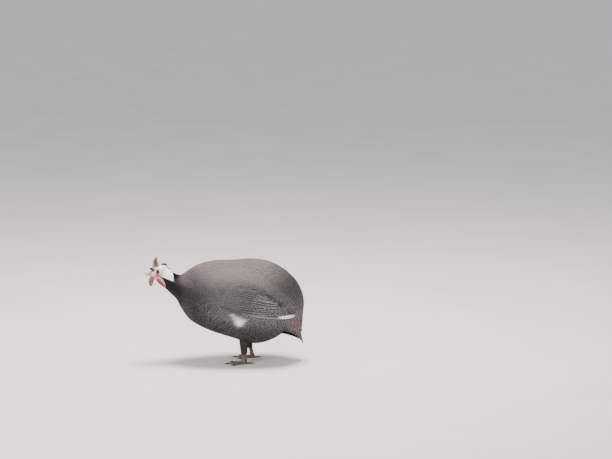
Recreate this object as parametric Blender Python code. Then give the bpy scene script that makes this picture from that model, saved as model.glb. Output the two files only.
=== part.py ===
"""Helmeted guinea fowl, life size, standing still with its head turned a little to its left.

Metres, +Z up. The bird looks along -X and its left side faces -Y. The soles rest on Z = 0.
"""
import math

import bmesh
import bpy
import numpy as np
from mathutils import Vector
from mathutils.bvhtree import BVHTree

# Clearance that touching pieces keep
GAP = 0.0003

# Head frame: the point midway between the eyes, and how the head is turned
HEAD_CENTRE = Vector((-0.2030, -0.0130, 0.2765))
HEAD_YAW = math.radians(34)
HEAD_PITCH = math.radians(6)

# Body outline, one row for each section from nape to rump:
# top x, top z, bottom x, bottom z, half width, sideways centre
BODY_SECTIONS = (
    (-0.1790, 0.2880, -0.1952, 0.2520, 0.0150, 0.0010),
    (-0.1603, 0.2795, -0.1807, 0.2300, 0.0200, 0.0010),
    (-0.1437, 0.2630, -0.1611, 0.2105, 0.0265, 0.0000),
    (-0.1258, 0.2640, -0.1406, 0.1885, 0.0370, 0.0000),
    (-0.1019, 0.2800, -0.1232, 0.1560, 0.0550, 0.0000),
    (-0.0721, 0.2955, -0.0984, 0.1255, 0.0710, 0.0000),
    (-0.0275, 0.3060, -0.0471, 0.0970, 0.0830, 0.0000),
    (0.0265, 0.3070, 0.0205, 0.0740, 0.0880, 0.0000),
    (0.0800, 0.3105, 0.0792, 0.0560, 0.0890, 0.0000),
    (0.1335, 0.3020, 0.1255, 0.0610, 0.0850, 0.0000),
    (0.1800, 0.2770, 0.1625, 0.0790, 0.0730, 0.0000),
    (0.2140, 0.2430, 0.1855, 0.0995, 0.0560, 0.0000),
    (0.2315, 0.2085, 0.2055, 0.1200, 0.0390, 0.0000),
    (0.2370, 0.1810, 0.2215, 0.1390, 0.0220, 0.0000),
)
RUMP_POINT = Vector((0.2360, 0.0, 0.1590))
BODY_RING_POINTS = 28
BODY_STEPS = 2
WIDEST_SHIFT = 0.05

# Cuts that part the body: a point of the plane and its normal, pointing to the rear
HEAD_CUT = (Vector((-0.1672, 0.0, 0.2550)), Vector((0.750, 0.0, -0.661)))
NECK_CUT = (Vector((-0.1372, 0.0, 0.2280)), Vector((0.985, 0.0, -0.173)))

# Head sections in the head frame, from the back of the skull to the bill:
# forward, top, bottom, half width
SKULL_SECTIONS = (
    (-0.0385, 0.0080, -0.0040, 0.0060),
    (-0.0340, 0.0125, -0.0100, 0.0105),
    (-0.0250, 0.0148, -0.0150, 0.0138),
    (-0.0140, 0.0155, -0.0172, 0.0148),
    (-0.0040, 0.0155, -0.0168, 0.0144),
    (0.0040, 0.0142, -0.0150, 0.0126),
    (0.0100, 0.0122, -0.0128, 0.0102),
    (0.0160, 0.0092, -0.0108, 0.0078),
)
UPPER_BILL_SECTIONS = (
    (0.0163, 0.0092, -0.0026, 0.0074),
    (0.0215, 0.0084, -0.0026, 0.0062),
    (0.0270, 0.0068, -0.0026, 0.0047),
    (0.0318, 0.0044, -0.0028, 0.0032),
    (0.0348, 0.0014, -0.0034, 0.0019),
    (0.0360, -0.0010, -0.0040, 0.0009),
)
LOWER_BILL_SECTIONS = (
    (0.0163, -0.0030, -0.0102, 0.0068),
    (0.0215, -0.0030, -0.0094, 0.0055),
    (0.0268, -0.0030, -0.0084, 0.0040),
    (0.0310, -0.0032, -0.0070, 0.0025),
    (0.0335, -0.0038, -0.0056, 0.0012),
)
HEAD_RING_POINTS = 24
BILL_RING_POINTS = 14

# Eye and its lids
EYE_RADIUS = 0.0056
EYE_SIDE = 0.0094
EYE_SEGMENTS = 14
EYE_RINGS = 8
LID_RING_RADIUS = 0.0052
LID_THICKNESS = 0.0012
LID_SIDE = 0.0134

# Ear, nostril, cere and line of the mouth, in the head frame
EAR_PLACE = (-0.0126, 0.0146, -0.0115)
EAR_RADIUS = 0.0024
EAR_RIM = 0.0009
NOSTRIL_PLACE = (0.0130, 0.0094, 0.0030)
NOSTRIL_RADII = (0.0022, 0.0016, 0.0009)
CERE_PLACE = (0.0108, 0.0040, 0.0076)
CERE_RADII = (0.0050, 0.0050, 0.0058)
MOUTH_REAR = 0.0040
MOUTH_LEVEL = -0.0028
MOUTH_DROP = -0.0078
MOUTH_WIDTH = 0.0007
MOUTH_DEPTH = 0.0010
MOUTH_STEPS = 4

# Casque, the bony helmet, in sections from root to tip:
# height above the head centre, centre forward, half length, half width
CASQUE_SECTIONS = (
    (0.0120, -0.0050, 0.0122, 0.0080),
    (0.0165, -0.0057, 0.0113, 0.0068),
    (0.0220, -0.0062, 0.0101, 0.0055),
    (0.0280, -0.0061, 0.0092, 0.0046),
    (0.0335, -0.0063, 0.0079, 0.0036),
    (0.0380, -0.0075, 0.0054, 0.0026),
    (0.0408, -0.0090, 0.0024, 0.0013),
)
CASQUE_RING_POINTS = 16

# Wattles: root and tip of the left and the right one, in the head frame
WATTLE_ROOTS = {"left": (0.0030, 0.0085, -0.0125), "right": (0.0080, -0.0085, -0.0122)}
WATTLE_TIPS = {"left": (-0.0115, 0.0300, -0.0462), "right": (0.0030, -0.0285, -0.0500)}
WATTLE_HALF_WIDTH = 0.0098
WATTLE_THICKNESS = 0.0030
WATTLE_CUP = 0.0035
WATTLE_ROWS = 9
WATTLE_RING_POINTS = 14

# Wing core in side view from shoulder to tip: x, lower z, upper z
WING_SECTIONS = (
    (-0.0320, 0.2050, 0.2280),
    (-0.0150, 0.1900, 0.2510),
    (0.0150, 0.1765, 0.2640),
    (0.0500, 0.1640, 0.2660),
    (0.0900, 0.1555, 0.2560),
    (0.1250, 0.1530, 0.2330),
    (0.1500, 0.1535, 0.2060),
    (0.1680, 0.1560, 0.1810),
)
WING_LIFT = 0.0068
WING_THIN_TOP = 0.65
WING_THIN_FRONT = 0.65
WING_BOTTOM = 0.150
WING_DEPTH = 0.125
WING_FRONT = -0.032
WING_FRONT_FADE = 0.050
WING_ROOT_DEPTH = 0.0030
WING_RING_POINTS = 12

# Tiers of wing vanes, lowest feather first. Root: x, z and their step from vane to vane.
# Tip: x, z, their step and their bend. Lift: how far the lower and the upper edge stand off.
WING_TIERS = {
    "primary": {
        "count": 2,
        "root": (0.0500, 0.1570, 0.0060, 0.0040),
        "tip": (0.2110, 0.1500, -0.0070, 0.0016, 0.0, 0.0),
        "half_width": 0.0072,
        "lift": (0.0002, -0.0030),
        "stations": "long",
    },
    "secondary": {
        "count": 8,
        "root": (0.0280, 0.1690, 0.0035, 0.0107),
        "tip": (0.2015, 0.1545, -0.0070, 0.0069, -0.00055, 0.0004),
        "half_width": 0.0088,
        "lift": (0.0022, -0.0012),
        "stations": "long",
    },
    "greater_covert": {
        "count": 6,
        "root": (0.0060, 0.1810, 0.0045, 0.0130),
        "tip": (0.0800, 0.1650, 0.0035, 0.0130, 0.0, 0.0),
        "half_width": 0.0105,
        "lift": (0.0034, 0.0),
        "stations": "short",
    },
    "median_covert": {
        "count": 5,
        "root": (-0.0150, 0.1910, 0.0050, 0.0140),
        "tip": (0.0400, 0.1810, 0.0040, 0.0134, 0.0, 0.0),
        "half_width": 0.0100,
        "lift": (0.0040, 0.0008),
        "stations": "short",
    },
    "lesser_covert": {
        "count": 4,
        "root": (-0.0300, 0.2030, 0.0060, 0.0130),
        "tip": (0.0090, 0.1940, 0.0050, 0.0134, 0.0, 0.0),
        "half_width": 0.0095,
        "lift": (0.0038, 0.0010),
        "stations": "short",
    },
}
VANE_THICKNESS = 0.0008
VANE_STATIONS = {"long": (0.0, 0.4, 0.8, 0.93, 1.0), "short": (0.0, 0.45, 0.85, 1.0)}
ROOT_SINK = 0.0030
ROOT_SINK_SHARE = 0.3

# Tail core, sections from root down: centre x, centre z, half width, half thickness
TAIL_SECTIONS = (
    (0.1960, 0.1620, 0.0330, 0.0260),
    (0.2010, 0.1320, 0.0360, 0.0235),
    (0.2040, 0.1090, 0.0330, 0.0205),
    (0.2080, 0.0945, 0.0280, 0.0165),
    (0.2150, 0.0830, 0.0210, 0.0110),
    (0.2210, 0.0740, 0.0130, 0.0060),
)
TAIL_RING_POINTS = 16

# Tail feathers hang like a tent from the middle one round to the outermost one on each side.
# Root and tip of the middle and of the outermost feather: x, z; and half the width of the tent
TAIL_MIDDLE_ROOT = (0.2265, 0.1560)
TAIL_MIDDLE_TIP = (0.2343, 0.0497)
TAIL_SIDE_ROOT = (0.1700, 0.1500)
TAIL_SIDE_TIP = (0.1800, 0.0945)
TAIL_ROOT_HALF_WIDTH = 0.0330
TAIL_TIP_HALF_WIDTH = 0.0360
TAIL_HOLLOW = 0.0052
TAIL_EDGE_POWER = 1.5
TAIL_SKEW = math.radians(0.6)

# Tiers of the tent: feathers on each side, turn of the first and the last in degrees,
# start and end along the longest feather, how far out, drop from one to the next, half width
TAIL_TIERS = {
    "rectrix": (7, 5, 82, 0.00, 1.00, 0.0000, 0.0003, 0.0092),
    "upper_covert_low": (4, 9, 76, -0.08, 0.60, 0.0034, 0.0004, 0.0105),
    "upper_covert_high": (3, 12, 68, -0.10, 0.34, 0.0058, 0.0005, 0.0115),
}

# Feathers under the tail: places sideways, root and tip in side view, half width
UNDER_COVERT_PLACES = (-0.0200, -0.0070, 0.0070, 0.0200)
UNDER_COVERT_ROOT = (0.1700, 0.1030)
UNDER_COVERT_TIP = (0.2160, 0.0765)
UNDER_COVERT_HALF_WIDTH = 0.0095
UNDER_COVERT_DROP = 0.0011

# Hackles on the nape and the tuft behind the casque
HACKLE_GAP = 0.0004
HACKLE_ROWS = 4
HACKLE_LENGTH = 0.0125
HACKLE_HALF_WIDTH = 0.0030
HACKLE_SPACING = 0.0046
HACKLE_SINK = 0.0025
HACKLE_START = -0.1525
HACKLE_END = -0.1408
TUFT_COUNT = 3
TUFT_PLACE = (-0.0205, 0.0, 0.0126)
TUFT_SPACING = 0.0022
TUFT_LENGTH = 0.0085
TUFT_HALF_WIDTH = 0.0018

# Legs: turn of each foot, the ankle above it, the hock in the belly, and how stout it is
LEGS = {
    "left": {"turn": math.radians(4), "ankle": (0.0580, -0.0400), "hock": (0.0570, -0.0400), "girth": 1.0},
    "right": {"turn": math.radians(-5), "ankle": (0.0820, 0.0400), "hock": (0.0710, 0.0400), "girth": 0.82},
}
ANKLE_HEIGHT = 0.0110
HOCK_HEIGHT = 0.0640
THIGH_TOP_HEIGHT = 0.0920
THIGH_CUFF_HEIGHT = 0.0330
THIGH_RADII = (0.0235, 0.0208, 0.0162, 0.0126, 0.0104)
THIGH_RING_POINTS = 18
SHANK_RADII = (0.0080, 0.0075, 0.0075, 0.0086)
SHANK_FLATTEN = 0.74
SHANK_RING_POINTS = 12
SHANK_OVERLAP = 0.0015
PAD_HEIGHT = 0.0045
PAD_RADII = (0.0098, 0.0086, 0.0054)
TOES = (
    ("inner", math.radians(32), 0.0400, 0.0046),
    ("middle", math.radians(0), 0.0520, 0.0050),
    ("outer", math.radians(-32), 0.0400, 0.0046),
    ("hind", math.radians(172), 0.0170, 0.0036),
)
TOE_TAPER = 0.38
TOE_FLATTEN = 0.86
TOE_RING_POINTS = 7
TOE_STEPS = 5
KNUCKLES = 3
KNUCKLE_SWELL = 0.14
CLAW_LENGTH = 0.0110
CLAW_RADII = (0.0022, 0.0017, 0.0006)
CLAW_RING_POINTS = 5
SOLE_SINK = 0.0006

FORWARD = Vector((1, 0, 0))
SIDEWAYS = Vector((0, 1, 0))
UPWARD = Vector((0, 0, 1))

# Colours, linear, with roughness
FINISHES = {
    "plumage": ((0.100, 0.085, 0.085, 1.0), 0.75),
    "wing_plumage": ((0.085, 0.080, 0.085, 1.0), 0.70),
    "tail_plumage": ((0.110, 0.095, 0.105, 1.0), 0.72),
    "neck_plumage": ((0.020, 0.016, 0.018, 1.0), 0.80),
    "face_skin": ((0.720, 0.740, 0.760, 1.0), 0.50),
    "casque_horn": ((0.260, 0.140, 0.070, 1.0), 0.45),
    "bill_horn": ((0.560, 0.360, 0.280, 1.0), 0.40),
    "wattle_skin": ((0.520, 0.110, 0.110, 1.0), 0.45),
    "eye": ((0.012, 0.009, 0.008, 1.0), 0.08),
    "leg_scale": ((0.050, 0.038, 0.033, 1.0), 0.60),
}


def clear_scene():
    for item in list(bpy.data.objects):
        bpy.data.objects.remove(item)


def make_materials():
    materials = {}
    for name, (colour, roughness) in FINISHES.items():
        material = bpy.data.materials.new(name)
        material.use_nodes = True
        shader = material.node_tree.nodes["Principled BSDF"]
        shader.inputs["Base Color"].default_value = colour
        shader.inputs["Roughness"].default_value = roughness
        materials[name] = material
    return materials


def head_axes():
    """Forward, left and up of the head."""
    level = math.cos(HEAD_PITCH)
    forward = Vector((-math.cos(HEAD_YAW) * level, -math.sin(HEAD_YAW) * level, -math.sin(HEAD_PITCH)))
    left = Vector((math.sin(HEAD_YAW), -math.cos(HEAD_YAW), 0))
    return forward, left, forward.cross(left)


def head_point(forward, left, up):
    axes = head_axes()
    return HEAD_CENTRE + axes[0] * forward + axes[1] * left + axes[2] * up


def mesh_object(name, points, faces, smooth=True):
    mesh = bpy.data.meshes.new(name)
    mesh.from_pydata([tuple(point) for point in points], [], faces)
    item = bpy.data.objects.new(name, mesh)
    bpy.context.collection.objects.link(item)
    tidy_mesh(item, smooth)
    return item


def tidy_mesh(item, smooth=True, weld=0.000005):
    """Weld, split into triangles, turn all faces outwards and shade."""
    shape = bmesh.new()
    shape.from_mesh(item.data)
    bmesh.ops.remove_doubles(shape, verts=shape.verts, dist=weld)
    bmesh.ops.dissolve_degenerate(shape, edges=shape.edges, dist=weld)
    midway = [vertex for vertex in shape.verts if len(vertex.link_edges) == 2]
    bmesh.ops.dissolve_verts(shape, verts=midway)
    bmesh.ops.triangulate(shape, faces=shape.faces)
    bmesh.ops.recalc_face_normals(shape, faces=shape.faces)
    shape.to_mesh(item.data)
    shape.free()
    if smooth:
        item.data.shade_smooth()
        item.data.set_sharp_from_angle(angle=math.radians(40))


def loft(name, rings, start_point=None, end_point=None):
    """Closed tube through rings of equal length, with flat or pointed ends."""
    count = len(rings[0])
    points = [point for ring in rings for point in ring]
    faces = []
    for row in range(len(rings) - 1):
        for column in range(count):
            after = (column + 1) % count
            low = row * count
            high = low + count
            faces.append((low + column, low + after, high + after, high + column))
    last = (len(rings) - 1) * count
    for first, tip, order in ((0, start_point, -1), (last, end_point, 1)):
        centre = tip
        if centre is None:
            centre = sum((Vector(points[first + column]) for column in range(count)), Vector()) / count
        points.append(centre)
        for column in range(count):
            pair = (first + column, first + (column + 1) % count)[::order]
            faces.append((pair[0], pair[1], len(points) - 1))
    return mesh_object(name, points, faces)


def smooth_rows(rows, steps):
    """Catmull-Rom curve through the rows of a table, with extra rows between them."""
    table = np.array(rows, dtype=float)
    padded = np.vstack([2 * table[0] - table[1], table, 2 * table[-1] - table[-2]])
    result = []
    for index in range(len(table) - 1):
        before, start, end, after = padded[index:index + 4]
        for step in range(steps):
            t = step / steps
            bend = (2 * before - 5 * start + 4 * end - after) * t * t
            twist = (3 * start - before - 3 * end + after) * t ** 3
            result.append(0.5 * (2 * start + (end - before) * t + bend + twist))
    result.append(table[-1])
    return result


def oval_ring(centre, side, up, half_width, half_height, count, widest_shift=0.0):
    """Ring round a centre; the widest level can lie below the middle."""
    ring = []
    for index in range(count):
        angle = 2 * math.pi * index / count
        rise = math.sin(angle) - widest_shift * math.cos(angle) ** 2
        ring.append(centre + side * (half_width * math.cos(angle)) + up * (half_height * rise))
    return ring


def body_rings():
    rings = []
    for row in smooth_rows(BODY_SECTIONS, BODY_STEPS):
        top = Vector((row[0], row[5], row[1]))
        bottom = Vector((row[2], row[5], row[3]))
        half_height = (top - bottom).length / 2
        up = (top - bottom).normalized()
        centre = (top + bottom) / 2
        rings.append(oval_ring(centre, SIDEWAYS, up, row[4], half_height, BODY_RING_POINTS, WIDEST_SHIFT))
    return rings


def head_loft(name, sections, count):
    """Closed piece from a table of forward, top, bottom and half width in the head frame."""
    axes = head_axes()
    rings = []
    for forward, top, bottom, half_width in sections:
        centre = head_point(forward, 0, (top + bottom) / 2)
        rings.append(oval_ring(centre, axes[1], axes[2], half_width, (top - bottom) / 2, count))
    return loft(name, rings)


def run_boolean(target, tools, operation, solver="EXACT"):
    """Join, cut or intersect with a collection of closed pieces, which are then removed."""
    group = bpy.data.collections.new("tools")
    bpy.context.scene.collection.children.link(group)
    for tool in tools:
        for holder in list(tool.users_collection):
            holder.objects.unlink(tool)
        group.objects.link(tool)
        tool.hide_render = True
        tool.display_type = "WIRE"
    modifier = target.modifiers.new("boolean", "BOOLEAN")
    modifier.operand_type = "COLLECTION"
    modifier.collection = group
    modifier.operation = operation
    modifier.solver = solver
    modifier.use_self = False
    graph = bpy.context.evaluated_depsgraph_get()
    result = bpy.data.meshes.new_from_object(target.evaluated_get(graph))
    target.modifiers.clear()
    target.data = result
    target.data.materials.clear()
    for tool in tools:
        bpy.data.objects.remove(tool)
    bpy.data.collections.remove(group)
    tidy_mesh(target)
    keep_largest(target)


def keep_largest(item):
    """Keep only the largest closed surface of a mesh."""
    shape = bmesh.new()
    shape.from_mesh(item.data)
    left_over = set(shape.faces)
    islands = []
    while left_over:
        island = {left_over.pop()}
        front = list(island)
        while front:
            face = front.pop()
            for edge in face.edges:
                for other in edge.link_faces:
                    if other in left_over:
                        left_over.discard(other)
                        island.add(other)
                        front.append(other)
        islands.append(island)
    islands.sort(key=lambda faces: -sum(face.calc_area() for face in faces))
    for island in islands[1:]:
        bmesh.ops.delete(shape, geom=list(island), context="FACES")
    loose = [vertex for vertex in shape.verts if not vertex.link_faces]
    bmesh.ops.delete(shape, geom=loose, context="VERTS")
    shape.to_mesh(item.data)
    shape.free()


def copy_of(item, name, grow=0.0):
    """Copy of a piece, its surface moved outwards by grow."""
    twin = bpy.data.objects.new(name, item.data.copy())
    bpy.context.collection.objects.link(twin)
    if grow:
        moves = [vertex.normal * grow for vertex in twin.data.vertices]
        for vertex, move in zip(twin.data.vertices, moves):
            vertex.co += move
    return twin


def part_by_plane(item, name, point, normal, keep_rear):
    """Copy of the half of a piece on one side of a plane, half a gap back from it, closed flat."""
    twin = copy_of(item, name)
    side = 1 if keep_rear else -1
    shape = bmesh.new()
    shape.from_mesh(twin.data)
    cut = bmesh.ops.bisect_plane(
        shape,
        geom=shape.verts[:] + shape.edges[:] + shape.faces[:],
        plane_co=point + normal.normalized() * (GAP / 2 * side),
        plane_no=normal,
        clear_inner=keep_rear,
        clear_outer=not keep_rear,
    )
    rim = [part for part in cut["geom_cut"] if isinstance(part, bmesh.types.BMEdge)]
    bmesh.ops.holes_fill(shape, edges=rim)
    shape.to_mesh(twin.data)
    shape.free()
    tidy_mesh(twin)
    keep_largest(twin)
    return twin


def ellipsoid(name, centre, axes, radii, segments=16, rings=10):
    points = []
    for ring in range(1, rings):
        fall = math.pi * ring / rings
        for segment in range(segments):
            turn = 2 * math.pi * segment / segments
            points.append(
                centre
                + axes[0] * (radii[0] * math.cos(fall))
                + axes[1] * (radii[1] * math.sin(fall) * math.cos(turn))
                + axes[2] * (radii[2] * math.sin(fall) * math.sin(turn))
            )
    rows = [points[start:start + segments] for start in range(0, len(points), segments)]
    return loft(name, rows, centre + axes[0] * radii[0], centre - axes[0] * radii[0])


def ring_tube(name, centre, across, up, radius, thickness, count=16, sides=6):
    """Closed ring, such as an eyelid, standing on the plane of two axes."""
    normal = across.cross(up).normalized()
    points = []
    for step in range(count):
        turn = 2 * math.pi * step / count
        outward = across * math.cos(turn) + up * math.sin(turn)
        for side in range(sides):
            spin = 2 * math.pi * side / sides
            offset = outward * (thickness * math.cos(spin)) + normal * (thickness * math.sin(spin))
            points.append(centre + outward * radius + offset)
    faces = []
    for step in range(count):
        following = (step + 1) % count
        for side in range(sides):
            after = (side + 1) % sides
            faces.append((
                step * sides + side,
                step * sides + after,
                following * sides + after,
                following * sides + side,
            ))
    return mesh_object(name, points, faces)


def tube_along(name, path, radii, count, flatten=1.0, up_hint=UPWARD):
    """Tapered tube along a path; flatten squashes it along up_hint."""
    rings = []
    for index, point in enumerate(path):
        before = path[max(index - 1, 0)]
        after = path[min(index + 1, len(path) - 1)]
        along = (after - before).normalized()
        side = up_hint.cross(along).normalized()
        up = along.cross(side)
        rings.append(oval_ring(point, side, up, radii[index], radii[index] * flatten, count))
    return loft(name, rings)


def eye_ball(name, sign, radius):
    """Ball at the place of one eye, its pole turned outwards."""
    axes = head_axes()
    centre = head_point(0, EYE_SIDE * sign, 0)
    turned = (axes[1] * sign, axes[0], axes[2])
    return ellipsoid(name, centre, turned, (radius,) * 3, EYE_SEGMENTS, EYE_RINGS)


def mouth_line(sign):
    """Thin cutter along the line of the mouth, from the bill back into the cheek."""
    table = np.array(SKULL_SECTIONS)
    mouth_front = SKULL_SECTIONS[-1][0] + MOUTH_DEPTH * 2
    path = []
    for step in range(MOUTH_STEPS + 1):
        t = step / MOUTH_STEPS
        forward = MOUTH_REAR + (mouth_front - MOUTH_REAR) * t
        level = MOUTH_DROP + (MOUTH_LEVEL - MOUTH_DROP) * math.sin(math.pi / 2 * t)
        width = float(np.interp(forward, table[:, 0], table[:, 3]))
        path.append(head_point(forward, (width - MOUTH_DEPTH * 0.4) * sign, level))
    return tube_along("mouth_line", path, [MOUTH_WIDTH] * len(path), 5)


def make_head(skull):
    """Skull with lids, ears, cere, nostrils and the line of the mouth; the bill is cut off it."""
    axes = head_axes()
    additions = []
    cutters = []
    for sign in (1, -1):
        lid_centre = head_point(0, LID_SIDE * sign, 0)
        additions.append(ring_tube("lid", lid_centre, axes[0], axes[2], LID_RING_RADIUS, LID_THICKNESS))
        ear_centre = head_point(EAR_PLACE[0], EAR_PLACE[1] * sign, EAR_PLACE[2])
        additions.append(ring_tube("ear_rim", ear_centre, axes[0], axes[2], EAR_RADIUS, EAR_RIM, 10, 5))
        cere_centre = head_point(CERE_PLACE[0], CERE_PLACE[1] * sign, CERE_PLACE[2])
        additions.append(ellipsoid("cere", cere_centre, axes, CERE_RADII, 12, 6))
        cutters.append(eye_ball("socket", sign, EYE_RADIUS + GAP))
        hole_centre = ear_centre + axes[1] * (EAR_RADIUS * 0.5 * sign)
        cutters.append(ellipsoid("ear_hole", hole_centre, axes, (EAR_RADIUS * 0.75,) * 3, 8, 5))
        nostril = head_point(NOSTRIL_PLACE[0], NOSTRIL_PLACE[1] * sign, NOSTRIL_PLACE[2])
        cutters.append(ellipsoid("nostril", nostril, axes, NOSTRIL_RADII, 8, 5))
        cutters.append(mouth_line(sign))
    additions += casque_tuft()
    run_boolean(skull, additions, "UNION")
    run_boolean(skull, cutters, "DIFFERENCE")


def make_casque():
    axes = head_axes()
    rings = []
    for height, forward, half_length, half_width in CASQUE_SECTIONS:
        centre = head_point(forward, 0, height)
        rings.append(oval_ring(centre, axes[0], axes[1], half_length, half_width, CASQUE_RING_POINTS))
    return loft("casque", rings)


def make_wattle(side):
    """Cupped flap that hangs from the gape."""
    sign = 1 if side == "left" else -1
    root = head_point(*WATTLE_ROOTS[side])
    tip = head_point(*WATTLE_TIPS[side])
    axes = head_axes()
    down = (tip - root).normalized()
    across = (axes[0] - down * axes[0].dot(down)).normalized()
    outward = across.cross(down).normalized()
    if outward.dot(axes[1] * sign) < 0:
        outward = -outward
    length = (tip - root).length
    rings = []
    for step in range(WATTLE_ROWS):
        t = step / (WATTLE_ROWS - 1)
        swell = math.sin(math.pi * min(0.22 + 0.78 * t, 0.985)) ** 0.6
        half_width = WATTLE_HALF_WIDTH * swell
        half_thickness = WATTLE_THICKNESS / 2 * (0.55 + 0.45 * swell)
        bow = WATTLE_CUP * math.sin(math.pi * t)
        ring = []
        for index in range(WATTLE_RING_POINTS):
            angle = 2 * math.pi * index / WATTLE_RING_POINTS
            sideways = math.cos(angle)
            cup = -WATTLE_CUP * sideways * sideways * swell
            point = root + down * (length * t) + across * (half_width * sideways)
            ring.append(point + outward * (bow + cup + half_thickness * math.sin(angle)))
        rings.append(ring)
    return loft("wattle_" + side, rings)


def body_surface(item):
    return BVHTree.FromPolygons(
        [vertex.co for vertex in item.data.vertices],
        [polygon.vertices for polygon in item.data.polygons],
    )


def flank_point(surface, sign, x, z, lift):
    """Point of the flank seen straight from the side, lifted sideways."""
    start = Vector((x, sign, z))
    hit = surface.ray_cast(start, Vector((0, -sign, 0)))[0]
    if hit is None:
        hit = surface.find_nearest(Vector((x, 0, z)))[0]
    return Vector((x, hit.y + sign * lift, z))


def clamp(value):
    return max(0.0, min(1.0, value))


def wing_lift(x, z):
    """How far the wing's core stands off the flank: thick low down, thin on top and in front."""
    rise = clamp((z - WING_BOTTOM) / WING_DEPTH)
    front = clamp((x - WING_FRONT) / WING_FRONT_FADE)
    return WING_LIFT * (1 - WING_THIN_TOP * rise * rise) * (1 - WING_THIN_FRONT * (1 - front))


def vane(name, rows):
    """Thin feather blade. Each row holds its four corners: upper and lower edge outside, then inside.

    Both faces are split along the same diagonal, so that they never cross.
    """
    points = [corner for row in rows for corner in row]
    faces = [(0, 3, 2), (0, 2, 1)]
    for index in range(len(rows) - 1):
        low = index * 4
        high = low + 4
        faces += [(low, low + 1, high + 1), (low, high + 1, high)]
        faces += [(low + 3, high + 2, low + 2), (low + 3, high + 3, high + 2)]
        faces += [(low + 1, low + 2, high + 2), (low + 1, high + 2, high + 1)]
        faces += [(low, high, high + 3), (low, high + 3, low + 3)]
    last = (len(rows) - 1) * 4
    faces += [(last, last + 1, last + 2), (last, last + 2, last + 3)]
    return mesh_object(name, points, faces)


def vane_width(t):
    """Share of the full width along a feather: a narrow root, even sides and a round tip."""
    root = min(1.0, 0.55 + 1.8 * t)
    tip = 1.0 if t < 0.8 else math.sqrt(max(0.04, 1 - ((t - 0.8) / 0.2) ** 2))
    return root * tip


def wing_vane(surface, sign, tier, index):
    """One flat feather of the folded wing, its lower edge lifted over the next one."""
    root = tier["root"]
    tip = tier["tip"]
    start = Vector((root[0] + root[2] * index, root[1] + root[3] * index))
    bend = index * index
    end = Vector((tip[0] + tip[2] * index + tip[4] * bend, tip[1] + tip[3] * index + tip[5] * bend))
    along = (end - start).normalized()
    down = Vector((along.y, -along.x))
    low_lift, high_lift = tier["lift"]
    rows = []
    for t in VANE_STATIONS[tier["stations"]]:
        centre = start + (end - start) * t
        width = tier["half_width"] * vane_width(t)
        sink = ROOT_SINK * clamp(1 - t / ROOT_SINK_SHARE)
        corners = []
        for direction, lift in ((-1, high_lift), (1, low_lift)):
            place = centre + down * (width * direction)
            base = wing_lift(place.x, place.y) + lift - sink
            corners.append(flank_point(surface, sign, place.x, place.y, base + VANE_THICKNESS / 2))
            corners.append(flank_point(surface, sign, place.x, place.y, base - VANE_THICKNESS / 2))
        rows.append((corners[0], corners[2], corners[3], corners[1]))
    return vane("wing_vane", rows)


def make_wing(side, surface):
    """Folded wing: a core on the flank with tiers of feathers out to their tips."""
    sign = -1 if side == "left" else 1
    rings = []
    half = WING_RING_POINTS // 2
    for x, low, high in WING_SECTIONS:
        levels = [low + (high - low) * index / (half - 1) for index in range(half)]
        outside = [flank_point(surface, sign, x, z, wing_lift(x, z)) for z in levels]
        inside = [flank_point(surface, sign, x, z, -WING_ROOT_DEPTH) for z in levels]
        rings.append(outside + inside[::-1])
    wing = loft("wing_" + side, rings)
    feathers = [
        wing_vane(surface, sign, tier, index)
        for tier in WING_TIERS.values()
        for index in range(tier["count"])
    ]
    run_boolean(wing, feathers, "UNION")
    return wing


def flat_row(centre, edge, face):
    """Four corners of a feather at one station."""
    return (centre + edge + face, centre - edge + face, centre - edge - face, centre + edge - face)


def tail_line(turn, t):
    """Place on the tail feather at a turn round the tent; t is 0 at its root and 1 at its tip."""
    middle = math.cos(turn)
    side = abs(math.sin(turn))
    root = Vector((
        TAIL_SIDE_ROOT[0] + (TAIL_MIDDLE_ROOT[0] - TAIL_SIDE_ROOT[0]) * middle,
        TAIL_ROOT_HALF_WIDTH * math.sin(turn),
        TAIL_MIDDLE_ROOT[1] + (TAIL_SIDE_ROOT[1] - TAIL_MIDDLE_ROOT[1]) * side,
    ))
    tip = Vector((
        TAIL_SIDE_TIP[0] + (TAIL_MIDDLE_TIP[0] - TAIL_SIDE_TIP[0]) * middle,
        TAIL_TIP_HALF_WIDTH * math.sin(turn),
        TAIL_MIDDLE_TIP[1] + (TAIL_SIDE_TIP[1] - TAIL_MIDDLE_TIP[1]) * side ** TAIL_EDGE_POWER,
    ))
    return root + (tip - root) * t - FORWARD * (TAIL_HOLLOW * 4 * t * (1 - t) * middle)


def tail_vane(turn, start, end, out, half_width):
    """One feather of the tent, from start to end along the tail."""
    along = (tail_line(turn, end) - tail_line(turn, start)).normalized()
    outward = Vector((math.cos(turn), math.sin(turn), 0))
    across = along.cross(outward).normalized()
    outward = across.cross(along).normalized()
    rows = []
    for t in VANE_STATIONS["long"]:
        centre = tail_line(turn, start + (end - start) * t) + outward * out
        edge = across * (half_width * vane_width(t))
        rows.append(flat_row(centre, edge, outward * (VANE_THICKNESS / 2)))
    return vane("tail_vane", rows)


def under_covert(index, y):
    """One feather under the tail."""
    root = Vector((UNDER_COVERT_ROOT[0], y, UNDER_COVERT_ROOT[1]))
    tip = Vector((UNDER_COVERT_TIP[0], y, UNDER_COVERT_TIP[1]))
    along = (tip - root).normalized()
    outward = along.cross(SIDEWAYS).normalized()
    rows = []
    for t in VANE_STATIONS["short"]:
        centre = root + (tip - root) * t + outward * (UNDER_COVERT_DROP * (index % 2))
        edge = SIDEWAYS * (UNDER_COVERT_HALF_WIDTH * vane_width(t))
        rows.append(flat_row(centre, edge, outward * (VANE_THICKNESS / 2)))
    return vane("under_covert", rows)


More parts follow.
